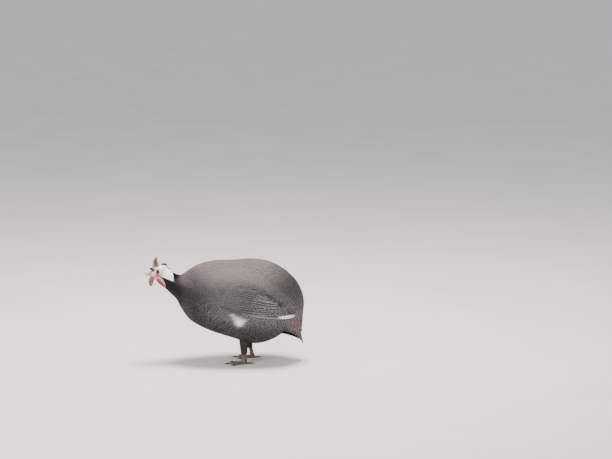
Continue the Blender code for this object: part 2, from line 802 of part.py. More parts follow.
def make_tail():
    """Drooping tail: a core with overlapping feathers in tiers, out to their tips."""
    rings = []
    for index, (x, z, half_width, half_thickness) in enumerate(TAIL_SECTIONS):
        before = TAIL_SECTIONS[max(index - 1, 0)]
        after = TAIL_SECTIONS[min(index + 1, len(TAIL_SECTIONS) - 1)]
        along = Vector((after[0] - before[0], 0, after[1] - before[1])).normalized()
        up = along.cross(SIDEWAYS)
        centre = Vector((x, 0, z))
        rings.append(oval_ring(centre, SIDEWAYS, up, half_width, half_thickness, TAIL_RING_POINTS))
    tail = loft("tail", rings)
    feathers = [under_covert(index, y) for index, y in enumerate(UNDER_COVERT_PLACES)]
    for pairs, first_turn, last_turn, start, end, out, drop, half_width in TAIL_TIERS.values():
        for index in range(pairs):
            turn = math.radians(first_turn + (last_turn - first_turn) * index / (pairs - 1))
            for sign in (-1, 1):
                skewed = turn * sign + TAIL_SKEW
                feathers.append(tail_vane(skewed, start, end, out - drop * index, half_width))
    run_boolean(tail, feathers, "UNION")
    return tail


def lock(name, root, direction, side, length, half_width):
    """Small pointed lock of feather that bends down a little towards its tip."""
    along = direction.normalized()
    normal = along.cross(side).normalized()
    rows = []
    for t, share in ((0.0, 1.0), (0.5, 0.85), (1.0, 0.25)):
        centre = root + along * (length * t) - normal * (length * 0.12 * t * t)
        edge = side.normalized() * (half_width * share)
        rows.append(flat_row(centre, edge, normal * (VANE_THICKNESS / 2)))
    return vane(name, rows)


def add_hackles(neck, surface):
    """Short upright locks along the nape."""
    locks = []
    for row in range(HACKLE_ROWS):
        t = row / (HACKLE_ROWS - 1)
        for column in (-1, 0, 1):
            x = HACKLE_START + (HACKLE_END - HACKLE_START) * t + 0.0012 * abs(column)
            y = HACKLE_SPACING * column
            root = surface.ray_cast(Vector((x, y, 1)), -UPWARD)[0] - UPWARD * HACKLE_SINK
            direction = Vector((0.94, 0.12 * column, 0.14 - 0.30 * (1 - t)))
            length = HACKLE_LENGTH * (1 - 0.12 * abs(column))
            locks.append(lock("hackle", root, direction, SIDEWAYS, length, HACKLE_HALF_WIDTH))
    run_boolean(neck, locks, "UNION")


def casque_tuft():
    """Little locks that stand behind the casque."""
    axes = head_axes()
    locks = []
    for index in range(TUFT_COUNT):
        offset = (index - (TUFT_COUNT - 1) / 2) * TUFT_SPACING
        root = head_point(TUFT_PLACE[0] - 0.4 * abs(offset), offset, TUFT_PLACE[2])
        direction = axes[2] - axes[0] * 0.9 + axes[1] * (offset * 60)
        locks.append(lock("tuft", root, direction, axes[1], TUFT_LENGTH, TUFT_HALF_WIDTH))
    return locks


def leg_line(leg, heights):
    """Points on the line from the ankle through the hock at given heights."""
    ankle = Vector((*LEGS[leg]["ankle"], ANKLE_HEIGHT))
    hock = Vector((*LEGS[leg]["hock"], HOCK_HEIGHT))
    return [ankle + (hock - ankle) * ((z - ANKLE_HEIGHT) / (HOCK_HEIGHT - ANKLE_HEIGHT)) for z in heights]


def make_thigh(side):
    """Feathered cuff that comes out of the belly and covers the hock."""
    heights = np.linspace(THIGH_TOP_HEIGHT, THIGH_CUFF_HEIGHT, len(THIGH_RADII))
    path = leg_line(side, heights)
    radii = np.array(THIGH_RADII) * LEGS[side]["girth"]
    return tube_along("thigh_" + side, path, radii, THIGH_RING_POINTS, 1.0, FORWARD)


def make_shank(side):
    """Bare shank below the cuff, deeper from front to back than across."""
    heights = np.linspace(THIGH_CUFF_HEIGHT - GAP, ANKLE_HEIGHT - SHANK_OVERLAP, len(SHANK_RADII))
    path = leg_line(side, heights)
    radii = np.array(SHANK_RADII) * LEGS[side]["girth"]
    return tube_along("shank_" + side, path, radii, SHANK_RING_POINTS, SHANK_FLATTEN, SIDEWAYS)


def make_toe(centre, along, length, radius):
    """One toe with its knuckles, and its claw."""
    path = []
    radii = []
    for step in range(TOE_STEPS + 1):
        t = step / TOE_STEPS
        knuckle = 1 + KNUCKLE_SWELL * math.cos(2 * math.pi * KNUCKLES * t)
        size = radius * (1 - TOE_TAPER * t) * knuckle
        path.append(centre + along * (length * t) + UPWARD * (size * TOE_FLATTEN - SOLE_SINK))
        radii.append(size)
    toe = tube_along("toe", path, radii, TOE_RING_POINTS, TOE_FLATTEN)
    claw_path = [
        path[-1] - along * (CLAW_LENGTH * 0.27),
        path[-1] + along * (CLAW_LENGTH * 0.40) + UPWARD * 0.0003,
        path[-1] + along * CLAW_LENGTH - UPWARD * 0.0012,
    ]
    return toe, tube_along("claw", claw_path, CLAW_RADII, CLAW_RING_POINTS)


def make_foot(side):
    """Three front toes, a hind toe, their claws and the ankle, with flat soles."""
    leg = LEGS[side]
    centre = Vector((*leg["ankle"], 0))
    sign = 1 if side == "left" else -1
    pad_centre = centre + UPWARD * PAD_HEIGHT
    pieces = [ellipsoid("pad", pad_centre, (FORWARD, SIDEWAYS, UPWARD), PAD_RADII, 12, 6)]
    for name, splay, length, radius in TOES:
        heading = math.pi + leg["turn"] + splay * sign
        along = Vector((math.cos(heading), math.sin(heading), 0))
        pieces += make_toe(centre, along, length, radius)
    path = [centre + UPWARD * 0.002, *leg_line(side, (ANKLE_HEIGHT / 2, ANKLE_HEIGHT - GAP))]
    radii = (SHANK_RADII[-1] * leg["girth"],) * len(path)
    foot = tube_along("foot_" + side, path, radii, SHANK_RING_POINTS, SHANK_FLATTEN, SIDEWAYS)
    run_boolean(foot, pieces, "UNION")
    flat = part_by_plane(foot, "flat_foot", UPWARD * (-GAP / 2), UPWARD, True)
    bpy.data.objects.remove(foot)
    return flat


def main():
    clear_scene()
    materials = make_materials()
    whole = loft("whole", body_rings(), None, RUMP_POINT)
    surface = body_surface(whole)
    skull = head_loft("skull", SKULL_SECTIONS, HEAD_RING_POINTS)
    casque = make_casque()

    torso = part_by_plane(whole, "torso", *NECK_CUT, True)
    neck_and_head = part_by_plane(whole, "neck_and_head", *NECK_CUT, False)
    neck = part_by_plane(neck_and_head, "neck", *HEAD_CUT, True)
    run_boolean(skull, [part_by_plane(neck_and_head, "nape", *HEAD_CUT, False)], "UNION")
    bpy.data.objects.remove(neck_and_head)
    bpy.data.objects.remove(whole)
    add_hackles(neck, surface)
    rooms = [copy_of(skull, "skull_room", HACKLE_GAP), copy_of(torso, "torso_room", HACKLE_GAP)]
    run_boolean(neck, rooms, "DIFFERENCE")
    make_head(skull)
    skull.name = "head"
    run_boolean(casque, [copy_of(skull, "head_room", GAP)], "DIFFERENCE")

    nodes = {
        "torso": (torso, "plumage"),
        "neck": (neck, "neck_plumage"),
        "head": (skull, "face_skin"),
        "casque": (casque, "casque_horn"),
        "bill_upper": (head_loft("bill_upper", UPPER_BILL_SECTIONS, BILL_RING_POINTS), "bill_horn"),
        "bill_lower": (head_loft("bill_lower", LOWER_BILL_SECTIONS, BILL_RING_POINTS), "bill_horn"),
    }
    for side, sign in (("left", 1), ("right", -1)):
        wattle = make_wattle(side)
        run_boolean(wattle, [copy_of(skull, "head_room", GAP)], "DIFFERENCE", "MANIFOLD")
        nodes["wattle_" + side] = (wattle, "wattle_skin")
        nodes["eye_" + side] = (eye_ball("eye_" + side, sign, EYE_RADIUS), "eye")
        wing = make_wing(side, surface)
        run_boolean(wing, [copy_of(torso, "torso_room", GAP)], "DIFFERENCE")
        nodes["wing_" + side] = (wing, "wing_plumage")
        thigh = make_thigh(side)
        run_boolean(thigh, [copy_of(torso, "torso_room", GAP)], "DIFFERENCE")
        nodes["thigh_" + side] = (thigh, "plumage")
        foot = make_foot(side)
        shank = make_shank(side)
        run_boolean(shank, [copy_of(foot, "foot_room", GAP)], "DIFFERENCE")
        nodes["shank_" + side] = (shank, "leg_scale")
        nodes["foot_" + side] = (foot, "leg_scale")
    tail = make_tail()
    run_boolean(tail, [copy_of(torso, "torso_room", GAP)], "DIFFERENCE")
    nodes["tail"] = (tail, "tail_plumage")
    for name, (item, finish) in nodes.items():
        item.name = name
        item.data.name = name
        item.hide_render = False
        item.display_type = "TEXTURED"
        item.data.materials.clear()
        item.data.materials.append(materials[finish])


main()
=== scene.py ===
"""Looks of the helmeted guinea fowl: skin, head, legs and every layer of its plumage.

Metres, +Z up. The bird looks along -X and its left side, towards the camera, faces -Y.
"""
import math

import bmesh
import bpy
import numpy as np
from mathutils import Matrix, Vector
from mathutils.bvhtree import BVHTree


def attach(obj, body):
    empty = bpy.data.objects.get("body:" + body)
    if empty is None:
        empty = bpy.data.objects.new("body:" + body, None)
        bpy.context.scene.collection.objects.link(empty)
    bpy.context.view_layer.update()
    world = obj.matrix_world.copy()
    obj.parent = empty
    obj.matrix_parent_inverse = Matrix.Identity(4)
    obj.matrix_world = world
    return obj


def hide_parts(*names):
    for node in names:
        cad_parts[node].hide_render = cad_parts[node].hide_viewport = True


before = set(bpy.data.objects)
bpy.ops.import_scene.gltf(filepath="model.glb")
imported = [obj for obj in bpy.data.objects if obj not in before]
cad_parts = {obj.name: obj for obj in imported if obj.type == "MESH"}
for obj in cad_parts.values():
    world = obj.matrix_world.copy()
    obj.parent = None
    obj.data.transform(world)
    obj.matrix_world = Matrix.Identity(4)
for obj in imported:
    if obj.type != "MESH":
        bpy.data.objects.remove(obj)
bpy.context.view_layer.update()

RANDOM_SEED = 7

# Photograph: image size, focal length and the place of the point under the bird, in pixels
IMAGE_WIDTH = 612
IMAGE_HEIGHT = 459
FOCAL_PIXELS = 1900
BIRD_PIXEL = (224.75, 361.0)
CAMERA_DEPTH = 5.67
CAMERA_PITCH = math.radians(9.55)
CAMERA_HEADING = math.radians(2.44)
SENSOR_WIDTH = 36.0

# Studio; each light has its place, size, watts and colour
FLOOR_HALF = 40.0
SKY_COLOUR = (0.86, 0.90, 1.0, 1.0)
SKY_STRENGTH = 0.80
LIGHT_TARGET = (0, 0, 0.15)
LIGHTS = {
    "key": ((0.2, 0.2, 2.8), 1.1, 168, (1.0, 0.97, 0.92)),
    "fill": ((-1.9, -2.4, 1.5), 1.6, 80, (1.0, 0.98, 0.97)),
}

# Head frame: the point midway between the eyes, and how the head is turned
HEAD_CENTRE = np.array((-0.2030, -0.0130, 0.2765))
HEAD_YAW = math.radians(34)
HEAD_PITCH = math.radians(6)

# Body outline, one row for each section from nape to rump:
# top x, top z, bottom x, bottom z, half width, sideways centre
BODY_SECTIONS = (
    (-0.1790, 0.2880, -0.1952, 0.2520, 0.0150, 0.001),
    (-0.1603, 0.2795, -0.1807, 0.2300, 0.0200, 0.001),
    (-0.1437, 0.2630, -0.1611, 0.2105, 0.0265, 0),
    (-0.1258, 0.2640, -0.1406, 0.1885, 0.0370, 0),
    (-0.1019, 0.2800, -0.1232, 0.1560, 0.0550, 0),
    (-0.0721, 0.2955, -0.0984, 0.1255, 0.0710, 0),
    (-0.0275, 0.3060, -0.0471, 0.0970, 0.0830, 0),
    (0.0265, 0.3070, 0.0205, 0.0740, 0.0880, 0),
    (0.0800, 0.3105, 0.0792, 0.0560, 0.0890, 0),
    (0.1335, 0.3020, 0.1255, 0.0610, 0.0850, 0),
    (0.1800, 0.2770, 0.1625, 0.0790, 0.0730, 0),
    (0.2140, 0.2430, 0.1855, 0.0995, 0.0560, 0),
    (0.2315, 0.2085, 0.2055, 0.1200, 0.0390, 0),
    (0.2370, 0.1810, 0.2215, 0.1390, 0.0220, 0),
)
LAST_SECTION = len(BODY_SECTIONS) - 1
RUMP_POINT = np.array((0.2360, 0.0, 0.1590))
WIDEST_SHIFT = 0.05

# Head sections in the head frame: forward, top, bottom, half width
SKULL_SECTIONS = (
    (-0.0385, 0.0080, -0.0040, 0.0060),
    (-0.0340, 0.0125, -0.0100, 0.0105),
    (-0.0250, 0.0148, -0.0150, 0.0138),
    (-0.0140, 0.0155, -0.0172, 0.0148),
    (-0.0040, 0.0155, -0.0168, 0.0144),
    (0.0040, 0.0142, -0.0150, 0.0126),
    (0.0100, 0.0122, -0.0128, 0.0102),
    (0.0160, 0.0092, -0.0108, 0.0078),
)
BILL_SECTIONS = {
    "bill_upper": (
        (0.0120, 0.0100, -0.0026, 0.0080),
        (0.0163, 0.0092, -0.0026, 0.0074),
        (0.0215, 0.0084, -0.0026, 0.0062),
        (0.0270, 0.0068, -0.0026, 0.0047),
        (0.0318, 0.0044, -0.0028, 0.0032),
        (0.0348, 0.0014, -0.0034, 0.0019),
        (0.0360, -0.0010, -0.0040, 0.0009),
    ),
    "bill_lower": (
        (0.0120, -0.0030, -0.0104, 0.0076),
        (0.0163, -0.0030, -0.0102, 0.0068),
        (0.0215, -0.0030, -0.0094, 0.0055),
        (0.0268, -0.0030, -0.0084, 0.0040),
        (0.0310, -0.0032, -0.0070, 0.0025),
        (0.0335, -0.0038, -0.0056, 0.0012),
    ),
}
# Casque sections: height, middle, half length, half width
CASQUE_SECTIONS = (
    (0.0120, -0.0050, 0.0122, 0.0080),
    (0.0165, -0.0057, 0.0113, 0.0068),
    (0.0220, -0.0062, 0.0101, 0.0055),
    (0.0280, -0.0061, 0.0092, 0.0046),
    (0.0335, -0.0063, 0.0079, 0.0036),
    (0.0380, -0.0075, 0.0054, 0.0026),
    (0.0408, -0.0090, 0.0024, 0.0013),
)

# Eye, lids, ear, nostril, cere and gape, in the head frame
EYE_RADIUS = 0.0056
EYE_SIDE = 0.0094
PUPIL_RADIUS = 0.0017
IRIS_RADIUS = 0.0040
PUPIL_BLACK = (0.004, 0.004, 0.005)
IRIS_BROWN = (0.024, 0.013, 0.009)
LID_SIDE = 0.0134
LID_RING_RADIUS = 0.0051
LID_THICKNESS = 0.0011
SOCKET_RADIUS = 0.0047
EAR_PLACE = np.array((-0.0126, 0.0146, -0.0115))
EAR_RADIUS = 0.0024
EAR_RIM = 0.0009
EAR_DEPTH = 0.0022
NOSTRIL_PLACE = np.array((0.0130, 0.0094, 0.0030))
NOSTRIL_RADII = (0.0021, 0.0025, 0.0010)
NOSTRIL_DEPTH = 0.0015
BILL_NOSTRIL = np.array((0.0186, 0.0062, 0.0034))
CERE_PLACE = np.array((0.0108, 0.0040, 0.0076))
CERE_RADII = (0.0050, 0.0050, 0.0058)
GAPE_START = np.array((0.0150, 0.0078, -0.0030))
GAPE_END = np.array((-0.0010, 0.0132, -0.0098))
MOUTH_DEPTH = 0.0012
MOUTH_WIDTH = 0.0007
HEAD_VOXEL = 0.00062

# Bare skin ends on a slanting line across the neck
BARE_END_X = -0.1495
BARE_LINE = (-0.1874, 0.2618)
BARE_SLOPE = 0.38

# Colours of the head
WHITE = np.array((0.95, 0.95, 0.94))
BLUE = (0.42, 0.50, 0.60)
LILAC = (0.78, 0.70, 0.78)
PINK = (0.64, 0.24, 0.255)
RED = np.array((0.50, 0.10, 0.12))
DARK = np.array((0.016, 0.013, 0.014))
# Brow grey: painted shade from the cere over the eye, under the casque.
BROW_SHADE_GREY = (0.12, 0.10, 0.10)
CASQUE_FOOT = (0.34, 0.26, 0.22)
EAR_RED = (0.26, 0.12, 0.11)
CASQUE_BROWN = (0.128, 0.072, 0.034)
# Peach: painted highlight on the casque's rear face.
CASQUE_HIGHLIGHT_PEACH = (0.88, 0.60, 0.44)
CASQUE_ROOT = (0.22, 0.15, 0.13)
BILL_PALE = (0.78, 0.60, 0.54)
BILL_BASE = (0.66, 0.34, 0.31)
# Nostril dark: painted shade in the nostril.
NOSTRIL_SHADE = (0.05, 0.03, 0.03)
# Wattle colours: dark red is red under painted shade, salmon is red under painted light, and pink is also
# the painted highlight on the near wattle's rim.
WATTLE_SHADE_RED = (0.150, 0.012, 0.018)
WATTLE_PINK = (0.60, 0.24, 0.235)
WATTLE_LIT_SALMON = (0.27, 0.072, 0.064)
WATTLE_BROWN = (0.22, 0.07, 0.04)

# Wattles in the head frame: root and tip
WATTLES = {
    "left": ((0.0030, 0.0085, -0.0125), (-0.0115, 0.0300, -0.0462)),
    "right": ((0.0080, -0.0085, -0.0122), (0.0030, -0.0285, -0.0500)),
}
WATTLE_HALF_WIDTH = 0.0098
WATTLE_THICKNESS = 0.0030
WATTLE_CUP = 0.0035
WATTLE_STEPS = 40

# Wing: how far it stands off the flank, and its upper and lower edge in side view, x then z
WING_LIFT = 0.0068
WING_THIN_TOP = 0.65
WING_BOTTOM = 0.150
WING_DEPTH = 0.125
WING_FRONT = -0.032
WING_FRONT_FADE = 0.050
WING_TOP = (
    (-0.034, -0.010, 0.02, 0.05, 0.09, 0.125, 0.16, 0.19, 0.21),
    (0.214, 0.248, 0.262, 0.264, 0.252, 0.228, 0.198, 0.172, 0.156),
)
WING_LOW = (
    (-0.034, -0.015, 0.013, 0.054, 0.095, 0.151, 0.21),
    (0.214, 0.190, 0.1765, 0.1620, 0.1530, 0.1495, 0.1520),
)

# Tiers of wing feathers: how many here and in the plan below; root x and z, their steps;
# tip x and z, their steps and bends; half width, lift of the lower and upper edge, tint
WING_TIERS = {
    "primary": (
        4, 2, (0.0400, 0.1690), (0.0060, 0.0040),
        (0.2080, 0.1462), (-0.0070, 0.0018), (0.0, 0.0), 0.0060, 0.0002, -0.0030, 1.0,
    ),
    "secondary": (
        12, 8, (0.0280, 0.1735), (0.0035, 0.0102),
        (0.1985, 0.1590), (-0.0070, 0.0065), (-0.00055, 0.0004), 0.0092, 0.0022, -0.0012, 0.76,
    ),
    "greater_covert": (
        12, 6, (0.0060, 0.1810), (0.0045, 0.0130),
        (0.0800, 0.1660), (0.0035, 0.0130), (0.0, 0.0), 0.0080, 0.0034, 0.0, 0.96,
    ),
    "median_covert": (
        11, 5, (-0.0150, 0.1910), (0.0050, 0.0140),
        (0.0400, 0.1815), (0.0040, 0.0134), (0.0, 0.0), 0.0074, 0.0040, 0.0008, 1.12,
    ),
}
PRIMARY_SAG = 0.0042
PRIMARY_WHITE = (0.97, 0.95, 0.95)
# Dark of the primaries; where it shows above the white bar it stands for painted shade under the
# secondaries' edge.
PRIMARY_DARK_AND_SHADE = (0.035, 0.032, 0.035)
PRIMARY_EDGE = np.array((0.26, 0.14, 0.0, 0.0, 0.0))

# Spots of the wing and the tail; lines: place across, radius, shift along, stretch
SECONDARY_LINES = ((-0.72, 0.0011, 0.0, 1.7), (-0.22, 0.0011, 0.5, 1.1), (0.28, 0.0010, 0.0, 1.1))
COVERT_LINES = ((-0.55, 0.0011, 0.0, 1.1), (0.0, 0.0011, 0.5, 1.1), (0.55, 0.0010, 0.0, 1.1))
TAIL_LINES = ((-0.6, 0.0), (0.0, 0.5), (0.6, 0.0))
WING_SPOT = np.array((0.64, 0.62, 0.63))
TAIL_SPOT = np.array((0.74, 0.73, 0.74))
BODY_SPOT = np.array((0.72, 0.70, 0.71))
SECONDARY_SPACING = 0.0052
COVERT_SPACING = 0.0050
TAIL_SPACING = 0.0058
TAIL_SPOT_RADIUS = 0.0011
SMALLEST_SPOT = 1e-5
SPOT_SIDES = 6
SPOT_RIM_HEIGHT = 0.00012
SPOT_HEIGHTS = np.array((0.00042, -0.00010))

# Tail feathers hang like a tent from the middle one round to the outermost one on each side.
# Root and tip of the middle and of the outermost feather: x, z; and half the width of the tent.
# Tiers: feathers on each side, turn of the first and the last in degrees, start and end along
# the longest feather, how far out, drop from one to the next, half width
TAIL_MIDDLE_ROOT = (0.2265, 0.1560)
TAIL_MIDDLE_TIP = (0.2343, 0.0497)
TAIL_SIDE_ROOT = (0.1700, 0.1500)
TAIL_SIDE_TIP = (0.1800, 0.0945)
TAIL_ROOT_HALF_WIDTH = 0.0330
TAIL_TIP_HALF_WIDTH = 0.0360
TAIL_HOLLOW = 0.0052
TAIL_EDGE_POWER = 1.5
TAIL_TIERS = {
    "rectrix": (8, 4, 84, 0.00, 1.00, 0.0004, 0.0003, 0.0078),
    "covert_low": (7, 6, 80, -0.08, 0.66, 0.0040, 0.0003, 0.0080),
    "covert_middle": (7, 3, 76, -0.10, 0.50, 0.0060, 0.0005, 0.0080),
    "covert_high": (6, 8, 72, -0.14, 0.35, 0.0078, 0.0006, 0.0084),
}
UNDER_TAIL_ROOT = (0.1700, 0.0985)
UNDER_TAIL_TIP = (0.2260, 0.0655)
UNDER_TAIL_ROWS = 3
UNDER_TAIL_COUNT = 7
UNDER_TAIL_HALF_WIDTH = 0.0082

# Legs
LEGS = {
    "left": {"turn": math.radians(4), "ankle": (0.0580, -0.0400), "hock": (0.0570, -0.0400), "girth": 1.0},
    "right": {"turn": math.radians(-5), "ankle": (0.0820, 0.0400), "hock": (0.0710, 0.0400), "girth": 0.82},
}
ANKLE_HEIGHT = 0.0110
HOCK_HEIGHT = 0.0640
SHANK_TOP = 0.0560
SHANK_LOW = 0.005
SHANK_FLATTEN = 0.74
SHANK_RADII = (0.0088, 0.0075, 0.0075, 0.0079, 0.0082)
SHANK_PLATE = 0.0042
THIGH_TOP = 0.0920
THIGH_CUFF = 0.0330
THIGH_RADII = (0.0235, 0.0208, 0.0162, 0.0126, 0.0104)
THIGH_TAPER = ((0.040, 0.070, 0.092), (1.0, 0.82, 0.52))
THIGH_SKIN_INSET = 0.0018
THIGH_ROWS = 17
THIGH_FIRST_ROW = 0.090
THIGH_ROW_STEP = 0.0030
THIGH_COLUMN_STEP = 0.0036
THIGH_FEATHER_LENGTH = 0.0125
THIGH_FEATHER_HALF_WIDTH = 0.0030
TOES = (
    (math.radians(32), 0.0400, 0.0046),
    (math.radians(0), 0.0520, 0.0050),
    (math.radians(-32), 0.0400, 0.0046),
    (math.radians(172), 0.0170, 0.0036),
)
TOE_PLATE = 0.0030
TOE_FLATTEN = 0.86
PAD_HEIGHT = 0.0045
PAD_RADII = (0.0098, 0.0086, 0.0044)
CLAW_LENGTH = 0.0110
CLAW_OVERLAP = 0.0035
SOLE_HEIGHT = 0.00018
CLAW_SOLE_HEIGHT = 0.0002
SCALE_DARK = (0.098, 0.062, 0.042)
SCALE_LIGHT = (0.140, 0.090, 0.060)
CLAW_GREY = (0.055, 0.042, 0.036)

# Coat: feather lengths go by x, pearl radii by z, widths and tints by the share along a feather; the tints
# darken the root as painted shade under the feather above and lighten the fringe a little
COAT_DEPTH = 0.0024
SKIN_BELOW_COAT = 0.0010
SKIN_GREY = (0.05, 0.045, 0.048)
BODY_FEATHER_LENGTH = 0.0175
FEATHER_LENGTHS = ((-0.175, -0.135, -0.09, -0.06), (0.00624, 0.01053, 0.0175, 0.0175))
FEATHER_ASPECT = 0.54
ROW_STEP = 0.27
COLUMN_STEP = 0.60
FIRST_ROOT_RING = 0.55
RING_POINTS = 65
FEATHER_ROWS = np.array((0.0, 0.30, 0.58, 0.80, 0.94, 1.0))
FEATHER_WIDTHS = np.array((0.40, 0.82, 1.0, 0.93, 0.62, 0.14))
FEATHER_SHADE_AND_FRINGE = np.array((0.60, 0.84, 1.0, 1.03, 1.07, 1.10))
FEATHER_COLUMNS = np.array((-1.0, 0.0, 1.0))
FEATHER_THICKNESS = 0.00028
FEATHER_CAMBER = 0.13
VANE_ROWS = np.concatenate([np.linspace(0, 0.86, 12), (0.92, 0.965, 1.0)])
VANE_COLUMNS = np.array((-1.0, -0.55, -0.1, 0.45, 1.0))
VANE_THICKNESS = 0.0005
THIGH_THICKNESS = 0.0003
BRISTLE_THICKNESS = 0.0002
# Pearls are small low on the body, which also darkens the belly as painted shade.
BODY_PEARL = (
    (0.06, 0.10, 0.15, 0.18, 0.22, 0.27),
    (0.00040, 0.00058, 0.00098, 0.00095, 0.00052, 0.00046),
)
BODY_SPOT_PLACES = ((0.90, 0.0, 1.0), (0.80, -0.62, 0.72), (0.80, 0.62, 0.72))
BODY_PIECES = 4

# Colours of the plumage; the white patch is a few soft ovals: x, z, half width, half height, share
NECK_TONE = (0.0108, 0.0076, 0.0071)
# Breast, belly and rear tones are darkened as painted shade; the back tone is lightened as painted light on
# the top of the body.
BREAST_SHADED_TONE = (0.0151, 0.0086, 0.0095)
BACK_LIT_TONE = (0.1686, 0.1359, 0.1307)
FLANK_TONE = (0.0590, 0.0540, 0.0550)
BELLY_SHADE_TONE = (0.0073, 0.0058, 0.0058)
THIGH_TONE = (0.0533, 0.0387, 0.0318)
ROOT_TONE = (0.1015, 0.0654, 0.0688)
REAR_SHADE_TONE = (0.0378, 0.0310, 0.0327)
TAIL_TONE = np.array((0.2150, 0.1419, 0.1548))
BRISTLE_TONE = np.array((0.014, 0.012, 0.013))
PATCH_WHITE = (0.97, 0.95, 0.97)
PATCH_SPOTS = (
    (0.0436, 0.1350, 0.0135, 0.0128, 1.0),
    (0.0320, 0.1475, 0.0100, 0.0070, 0.55),
    (0.0230, 0.1570, 0.0090, 0.0045, 0.45),
    (0.0590, 0.1400, 0.0070, 0.0055, 0.40),
)
BAKE_PATCH = 0.003
BAKE_STEP = 0.0034
BODY_BAKE_STEP = 0.0032

# Bristles: column on the bake map, how many, shortest, longest and half width
BRISTLES = {
    "tuft": (0, 46, 0.0050, 0.0082, 0.00032),
    "nape": (1, 700, 0.0060, 0.0105, 0.00042),
    "crown": (3, 640, 0.0050, 0.0085, 0.00042),
    "cere": (2, 260, 0.0022, 0.0036, 0.00030),
}
BRISTLE_SHAPE = np.array((0.7, 1.0, 0.85, 0.55, 0.1))

rng = np.random.default_rng(RANDOM_SEED)


def unit(vectors):
    lengths = np.linalg.norm(vectors, axis=-1, keepdims=True)
    return vectors / np.maximum(lengths, 1e-12)


def circle(count):
    """Even turns round a circle."""
    return 2 * math.pi * np.arange(count) / count


def level_direction(turn):
    return np.array((math.cos(turn), math.sin(turn), 0.0))


def step_up(values, low, high):
    """Smooth step from 0 to 1."""
    share = np.clip((values - low) / (high - low), 0, 1)
    return share * share * (3 - 2 * share)


def bump_at(points, centre, radius):
    """Smooth hump of height 1 round a centre."""
    return np.exp(-np.sum((points - np.asarray(centre)) ** 2, axis=-1) / radius ** 2)


def blend(start, end, share):
    start = np.asarray(start)
    return start + (np.asarray(end) - start) * np.asarray(share)[..., None]


def layers(colours, *zones):
    """Colours with others laid over them in turn, each by its share at every point."""
    for colour, share in zones:
        colours = blend(colours, colour, share)
    return colours


def spline(table, where):
    """Rows of a table read along a Catmull-Rom curve at fractional row numbers."""
    table = np.asarray(table, float)
    padded = np.vstack([2 * table[0] - table[1], table, 2 * table[-1] - table[-2]])
    cell = np.clip(np.floor(where).astype(int), 0, len(table) - 2)
    share = (where - cell)[:, None]
    before, start, end, after = (padded[cell + offset] for offset in range(4))
    bend = (2 * before - 5 * start + 4 * end - after) * share * share
    twist = (3 * start - before - 3 * end + after) * share ** 3
    return 0.5 * (2 * start + (end - before) * share + bend + twist)


def body_points(where, angles, inset=0.0):
    """Points of the coat's outer surface: where counts sections, angle 90 degrees is the back."""
    rows = spline(BODY_SECTIONS, where)
    top = rows[:, [0, 5, 1]]
    bottom = rows[:, [2, 5, 3]]
    span = top - bottom
    half = np.linalg.norm(span, axis=1, keepdims=True) / 2
    up = span / (2 * half)
    rise = (np.sin(angles) - WIDEST_SHIFT * np.cos(angles) ** 2)[:, None]
    sideways = np.cos(angles)[:, None] * np.array((0.0, 1.0, 0.0))
    return (top + bottom) / 2 + up * (half - inset) * rise + sideways * (rows[:, 4:5] - inset)


def body_rings(where, count, inset=0.0):
    """Rings of the coat's outer surface, each drawn in by its inset."""
    insets = np.repeat(np.broadcast_to(inset, where.shape), count)[:, None]
    points = body_points(np.repeat(where, count), np.tile(circle(count), len(where)), insets)
    return points.reshape(len(where), count, 3)


def head_axes():
    """Directions forward, to the bird's left and up in the turned head."""
    level = math.cos(HEAD_PITCH)
    forward = np.array((-math.cos(HEAD_YAW) * level, -math.sin(HEAD_YAW) * level, -math.sin(HEAD_PITCH)))
    left = np.array((math.sin(HEAD_YAW), -math.cos(HEAD_YAW), 0.0))
    return np.array((forward, left, np.cross(forward, left)))


HEAD_AXES = head_axes()
FORWARD, LEFT, UP = HEAD_AXES


def head_to_world(points):
    return HEAD_CENTRE + np.asarray(points, float) @ HEAD_AXES


def world_to_head(points):
    return (np.asarray(points, float) - HEAD_CENTRE) @ HEAD_AXES.T


def bare_depth(x, z):
    """How far a place on the neck lies above the edge of the bare white skin."""
    return z - BARE_LINE[1] + BARE_SLOPE * (x - BARE_LINE[0])


def bare_skin(point):
    return point[0] < BARE_END_X and bare_depth(point[0], point[2]) > 0


def add_object(name, data):
    item = bpy.data.objects.new(name, data)
    bpy.context.scene.collection.objects.link(item)
    return item


def mesh_piece(name, points, faces):
    mesh = bpy.data.meshes.new(name)
    mesh.from_pydata(np.asarray(points).tolist(), [], faces)
    mesh.validate()
    return add_object(name, mesh)


def outward(item):
    """Turn a closed piece's faces outwards and shade it smooth."""
    shape = bmesh.new()
    shape.from_mesh(item.data)
    bmesh.ops.recalc_face_normals(shape, faces=shape.faces)
    shape.to_mesh(item.data)
    shape.free()
    item.data.shade_smooth()
    return item


def strip(rows, count, loop=False):
    """Faces between rings of points; a loop joins its last ring to the first."""
    faces = []
    for row in range(rows if loop else rows - 1):
        low = row * count
        high = (row + 1) % rows * count
        for column in range(count):
            after = (column + 1) % count
            faces.append((low + column, low + after, high + after, high + column))
    return faces


def fan(first, count, centre, step=1):
    """Faces that close a ring with a centre point."""
    pairs = ((first + column, first + (column + 1) % count) for column in range(count))
    return [(*pair[::step], centre) for pair in pairs]


def tube(name, rings, start=None, end=None):
    """Closed tube through an array of rings, rows by points by 3."""
    rows, count = rings.shape[:2]
    points = list(rings.reshape(-1, 3))
    faces = strip(rows, count)
    for row, tip, step in ((0, start, -1), (rows - 1, end, 1)):
        points.append(rings[row].mean(axis=0) if tip is None else tip)
        faces += fan(row * count, count, len(points) - 1, step)
    return outward(mesh_piece(name, points, faces))


